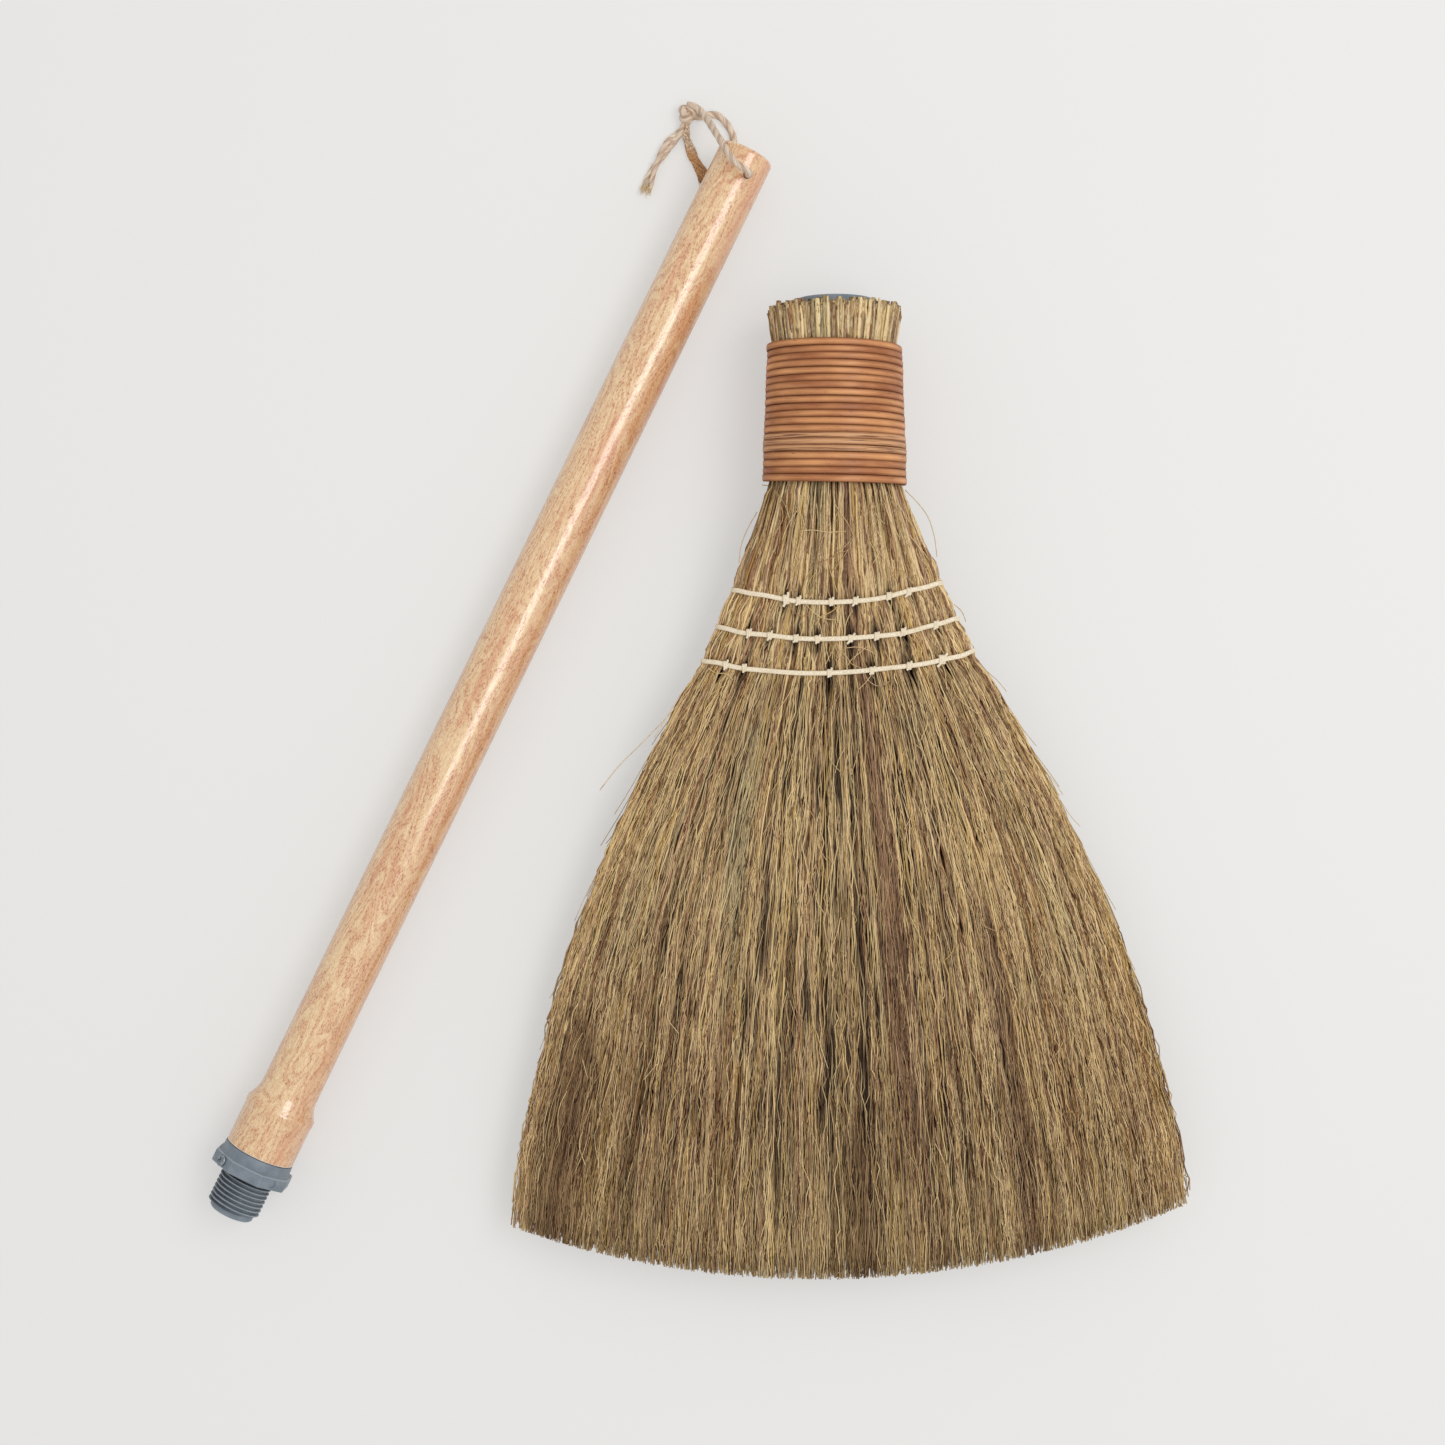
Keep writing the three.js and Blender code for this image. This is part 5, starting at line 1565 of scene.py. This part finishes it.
UPPER_TURNS = 13
UPPER_PITCH = 2.67
SPLICE_TURNS = 3
SPLICE_PITCH = 2.4
LOWER_TURNS = 4
LOWER_PITCH = 2.8
SPLICE_GAP = 0.12
CANE_THICKNESS = 2
CANE_STEPS = 72
CANE_SLACK = 1.03
WINDING_LEANS = (0.01, 0.075)
SPLICE_END = UPPER_TURNS + SPLICE_TURNS
LAST_TURN = SPLICE_END + LOWER_TURNS


def helix_depth(turns):
    upper = np.minimum(turns, UPPER_TURNS) * UPPER_PITCH
    splice = np.clip(turns - UPPER_TURNS, 0, SPLICE_TURNS) * SPLICE_PITCH
    gap = SPLICE_GAP * share(turns, SPLICE_END - 0.02, SPLICE_END + 0.02)
    lower = np.maximum(turns - SPLICE_END, 0) * LOWER_PITCH + gap
    return CANE_START - UPPER_PITCH / 2 + upper + splice + lower


def cane_section():
    """A half-round cane: shares of its thickness outwards and of its width"""
    arc = np.linspace(0, math.pi, 11)
    outer = np.stack([0.26 + 0.22 * np.sin(arc) ** 0.9, -0.5 * np.cos(arc)], axis=-1)
    return np.concatenate([[(-0.5, 0.44), (-0.5, -0.44)], outer]).T


def wound_cane(name, start, end, node, rattan):
    turns = np.linspace(start, end, round((end - start) * CANE_STEPS) + 1)[:, None]
    angle = -turns * TURN - math.pi / 2
    middle_depth = helix_depth(np.array(LAST_TURN)) / 2 + CANE_START / 2
    depth = middle_depth + (helix_depth(turns) - middle_depth) * CANE_SLACK
    down = share(depth, CANE_START, NECK_BOTTOM)
    spliced = smooth(turns, UPPER_TURNS - 0.1, UPPER_TURNS + 0.1) * (turns <= SPLICE_END)
    upper_pitch = lerp(UPPER_PITCH, SPLICE_PITCH, spliced)
    pitch = np.where(turns > SPLICE_END, LOWER_PITCH, upper_pitch) * CANE_SLACK
    jitter = chance.normal(0, 1, LAST_TURN + 1)
    jitter = np.interp(turns, np.arange(LAST_TURN + 1), jitter)
    uneven = np.sin(turns * 5.3 + jitter) * 0.06 + np.sin(turns * 13.7) * 0.05
    width = pitch * (1 + 0.03 * jitter)
    rise = 0.15 * spliced + 0.1 * jitter + uneven
    middle = lerp(NECK_TOP_RADIUS, NECK_BOTTOM_RADIUS, down) - CANE_THICKNESS / 2 + rise
    thick, wide = cane_section()
    radius = middle + thick * CANE_THICKNESS
    z = radius * np.sin(angle)
    lean = lerp(*WINDING_LEANS, down) * (NECK_TOP_RADIUS - z)
    y = wide * width - depth + 0.08 * np.sin(turns * 7.9) + lean
    rings = xyz(radius * np.cos(angle), y, z) + HEAD_PLACE
    rings[..., 2] = np.maximum(rings[..., 2], 0.02)
    taper = smooth(turns, start, start + 0.04) * (1 - smooth(turns, end - 0.04, end))
    centre = rings.mean(axis=1, keepdims=True)
    cane = skin(name, centre + (rings - centre) * lerp(0.35, 1, taper)[..., None])
    face_outwards(cane)
    # How near each point lies to the cane's edge, used for painted shade towards the grooves
    groove = np.clip((np.abs(wide) - 0.05) / 0.45, 0, 1)
    shade = np.clip(0.5 + 0.32 * jitter, 0, 1)
    facts = np.broadcast_arrays(spliced, groove, shade, 1.0)
    give_colours(cane, "cane_facts", np.stack(facts, axis=-1))
    smooth_sides(cane, 50)
    dress(cane, rattan, "head", "rattan", node)


def windings():
    rattan = rattan_finish()
    wound_cane("upper_winding", 0, SPLICE_END - 0.02, "rattan_wrap_upper", rattan)
    wound_cane("lower_winding", SPLICE_END + 0.02, LAST_TURN, "rattan_wrap_lower", rattan)


# The sewn rows

CORD_WIDTH = 1.9
CORD_THICKNESS = 1.0
CORD_STANDOFF = 0.9
BIG_KNOTS = ((0, 0), (2, 5))


def flat_section(width, thickness, count=10):
    angle = around_ring(count)
    x = signed_power(np.cos(angle), 0.7) * width / 2
    return np.stack([x, signed_power(np.sin(angle), 0.7) * thickness / 2], axis=-1)


def row_point(depth, angle, standoff):
    x = (half_width(depth) + standoff) * signed_power(np.cos(angle), 2 / 3)
    z = (half_thickness(depth) + standoff) * signed_power(np.sin(angle), 2 / 3)
    return in_head(depth, x, z)


def row_band(row, depth):
    """The flat cord round the straw, a little uneven"""
    angle = around_ring(144)
    wobble = 0.22 * np.sin(angle * 5 + 2 * row) + 0.14 * np.sin(angle * 11 + row)
    path = row_point(depth + wobble, angle, CORD_STANDOFF + 0.08 * np.sin(angle * 9))
    ahead = unit(np.roll(path, -1, 0) - np.roll(path, 1, 0))
    at_side = np.abs(np.sin(angle)) < 0.4
    out_x = np.where(at_side, np.sign(np.cos(angle)), np.cos(angle) * 0.25)
    out = square_to(xyz(out_x, 0, np.sin(angle)), ahead)
    side = np.cross(out, ahead)
    section = flat_section(CORD_WIDTH, CORD_THICKNESS)
    rings = path[:, None] + side[:, None] * section[:, :1] + out[:, None] * section[:, 1:]
    band = skin("band", rings, closed=True)
    face_outwards(band)
    return band


def tie_knot(x, y, top, big):
    """The cord wraps round itself and its ends stick out."""
    turns, reach, stretch, width = (2.6, 1.55, 1.5, 1.2) if big else (1.7, 1.2, 1, 1.05)
    shortest, longest = (1.6, 2.4) if big else (0.9, 1.7)
    angle = np.linspace(0, turns * TURN, round(turns * 14))
    aside = np.linspace(-0.55, 0.55, len(angle)) * stretch
    path = xyz(aside, reach * np.cos(angle), 0.75 * np.sin(angle) + 0.1) + (x, y, top)
    section = flat_section(width, 0.75, 8)
    parts = [sweep("knot", path, section)]
    for side in (-1, 1):
        length = chance.uniform(shortest, longest)
        lean = chance.uniform(0.2, 0.9)
        start = np.array((x + side * 0.3, y + side * reach * 0.4, top + 0.5))
        end = start + np.array((side * lean, side * 1.0, -0.1)) * length
        bend = (start + end) / 2 + np.array((0.2, 0, 0.25))
        parts.append(sweep("end", smooth_route([start, bend, end], 0.35), section * 0.85))
    return parts


def sewn_row(row, cord):
    depth = ROW_DEPTHS[row]
    parts = [row_band(row, depth)]
    for number, tie in enumerate(TIES[row]):
        x, y, middle = in_head(depth, half_width(depth) * tie, 0.0)
        height = half_thickness(depth) * edge_height(tie, depth) + CORD_STANDOFF
        top = middle + height
        down = np.linspace((x, y, top), (x, y, 2 * middle - top), 9)
        parts.append(sweep("tie", down, flat_section(0.8, 1.1, 8)))
        parts += tie_knot(x, y, top, (row, number) in BIG_KNOTS)
    sewn = joined(f"sewing_{row + 1}", *parts)
    smooth_sides(sewn, 60)
    dress(sewn, cord, "head", "sewing_cord", f"stitch_row_{row + 1}")


# The camera, table and light


def add_camera():
    data = bpy.data.cameras.new("camera")
    data.sensor_fit = "HORIZONTAL"
    data.angle = 2 * math.atan(HALF_VIEW)
    data.clip_end = 20
    camera = bpy.data.objects.new("camera", data)
    camera.location = CAMERA_PLACE * MM
    bpy.context.collection.objects.link(camera)
    bpy.context.scene.camera = camera


def add_table():
    size = 8000
    corners = [(x * size, y * size, -0.05) for x, y in ((-1, -1), (1, -1), (1, 1), (-1, 1))]
    table = mesh_piece("table", corners, [(0, 1, 2, 3)])
    table.data.materials.append(table_finish())


def add_light():
    """A long soft box over the handle's side, and a plain white room"""
    tilt = math.radians(24)
    along = Vector((-math.sin(HANDLE_ANGLE), math.cos(HANDLE_ANGLE), 0))
    across = Vector((along.y, -along.x, 0))
    towards = across * math.sin(tilt) + Vector((0, 0, math.cos(tilt)))
    data = bpy.data.lights.new("soft_box", "AREA")
    data.shape = "RECTANGLE"
    data.size = 1.1
    data.size_y = 0.55
    data.energy = 6.3
    light = bpy.data.objects.new("soft_box", data)
    place = Vector((-0.08, 0.015, 0)) + towards * 1.3 + along * 0.44
    axes = Matrix((along, towards.cross(along), towards)).transposed().to_4x4()
    light.matrix_world = Matrix.Translation(place) @ axes
    bpy.context.collection.objects.link(light)
    world = bpy.data.worlds.new("room")
    world.use_nodes = True
    background = world.node_tree.nodes["Background"]
    background.inputs["Color"].default_value = (1, 1, 1, 1)
    background.inputs["Strength"].default_value = 0.7
    bpy.context.scene.world = world
    bpy.context.scene.view_settings.view_transform = "Standard"


add_camera()
hanging_twine()
add_table()
add_light()
plastic = plastic_finish()
threaded_adapter(plastic)
cross_screw()
grain_film()
turned_rod()
socket_fitting(plastic)
straw = straw_finish()
all_straw(straw)
split_stalks(straw)
wiry_fibres(straw)
stray_hairs(straw)
windings()
cord = sewing_finish()
for row in range(len(ROW_DEPTHS)):
    sewn_row(row, cord)
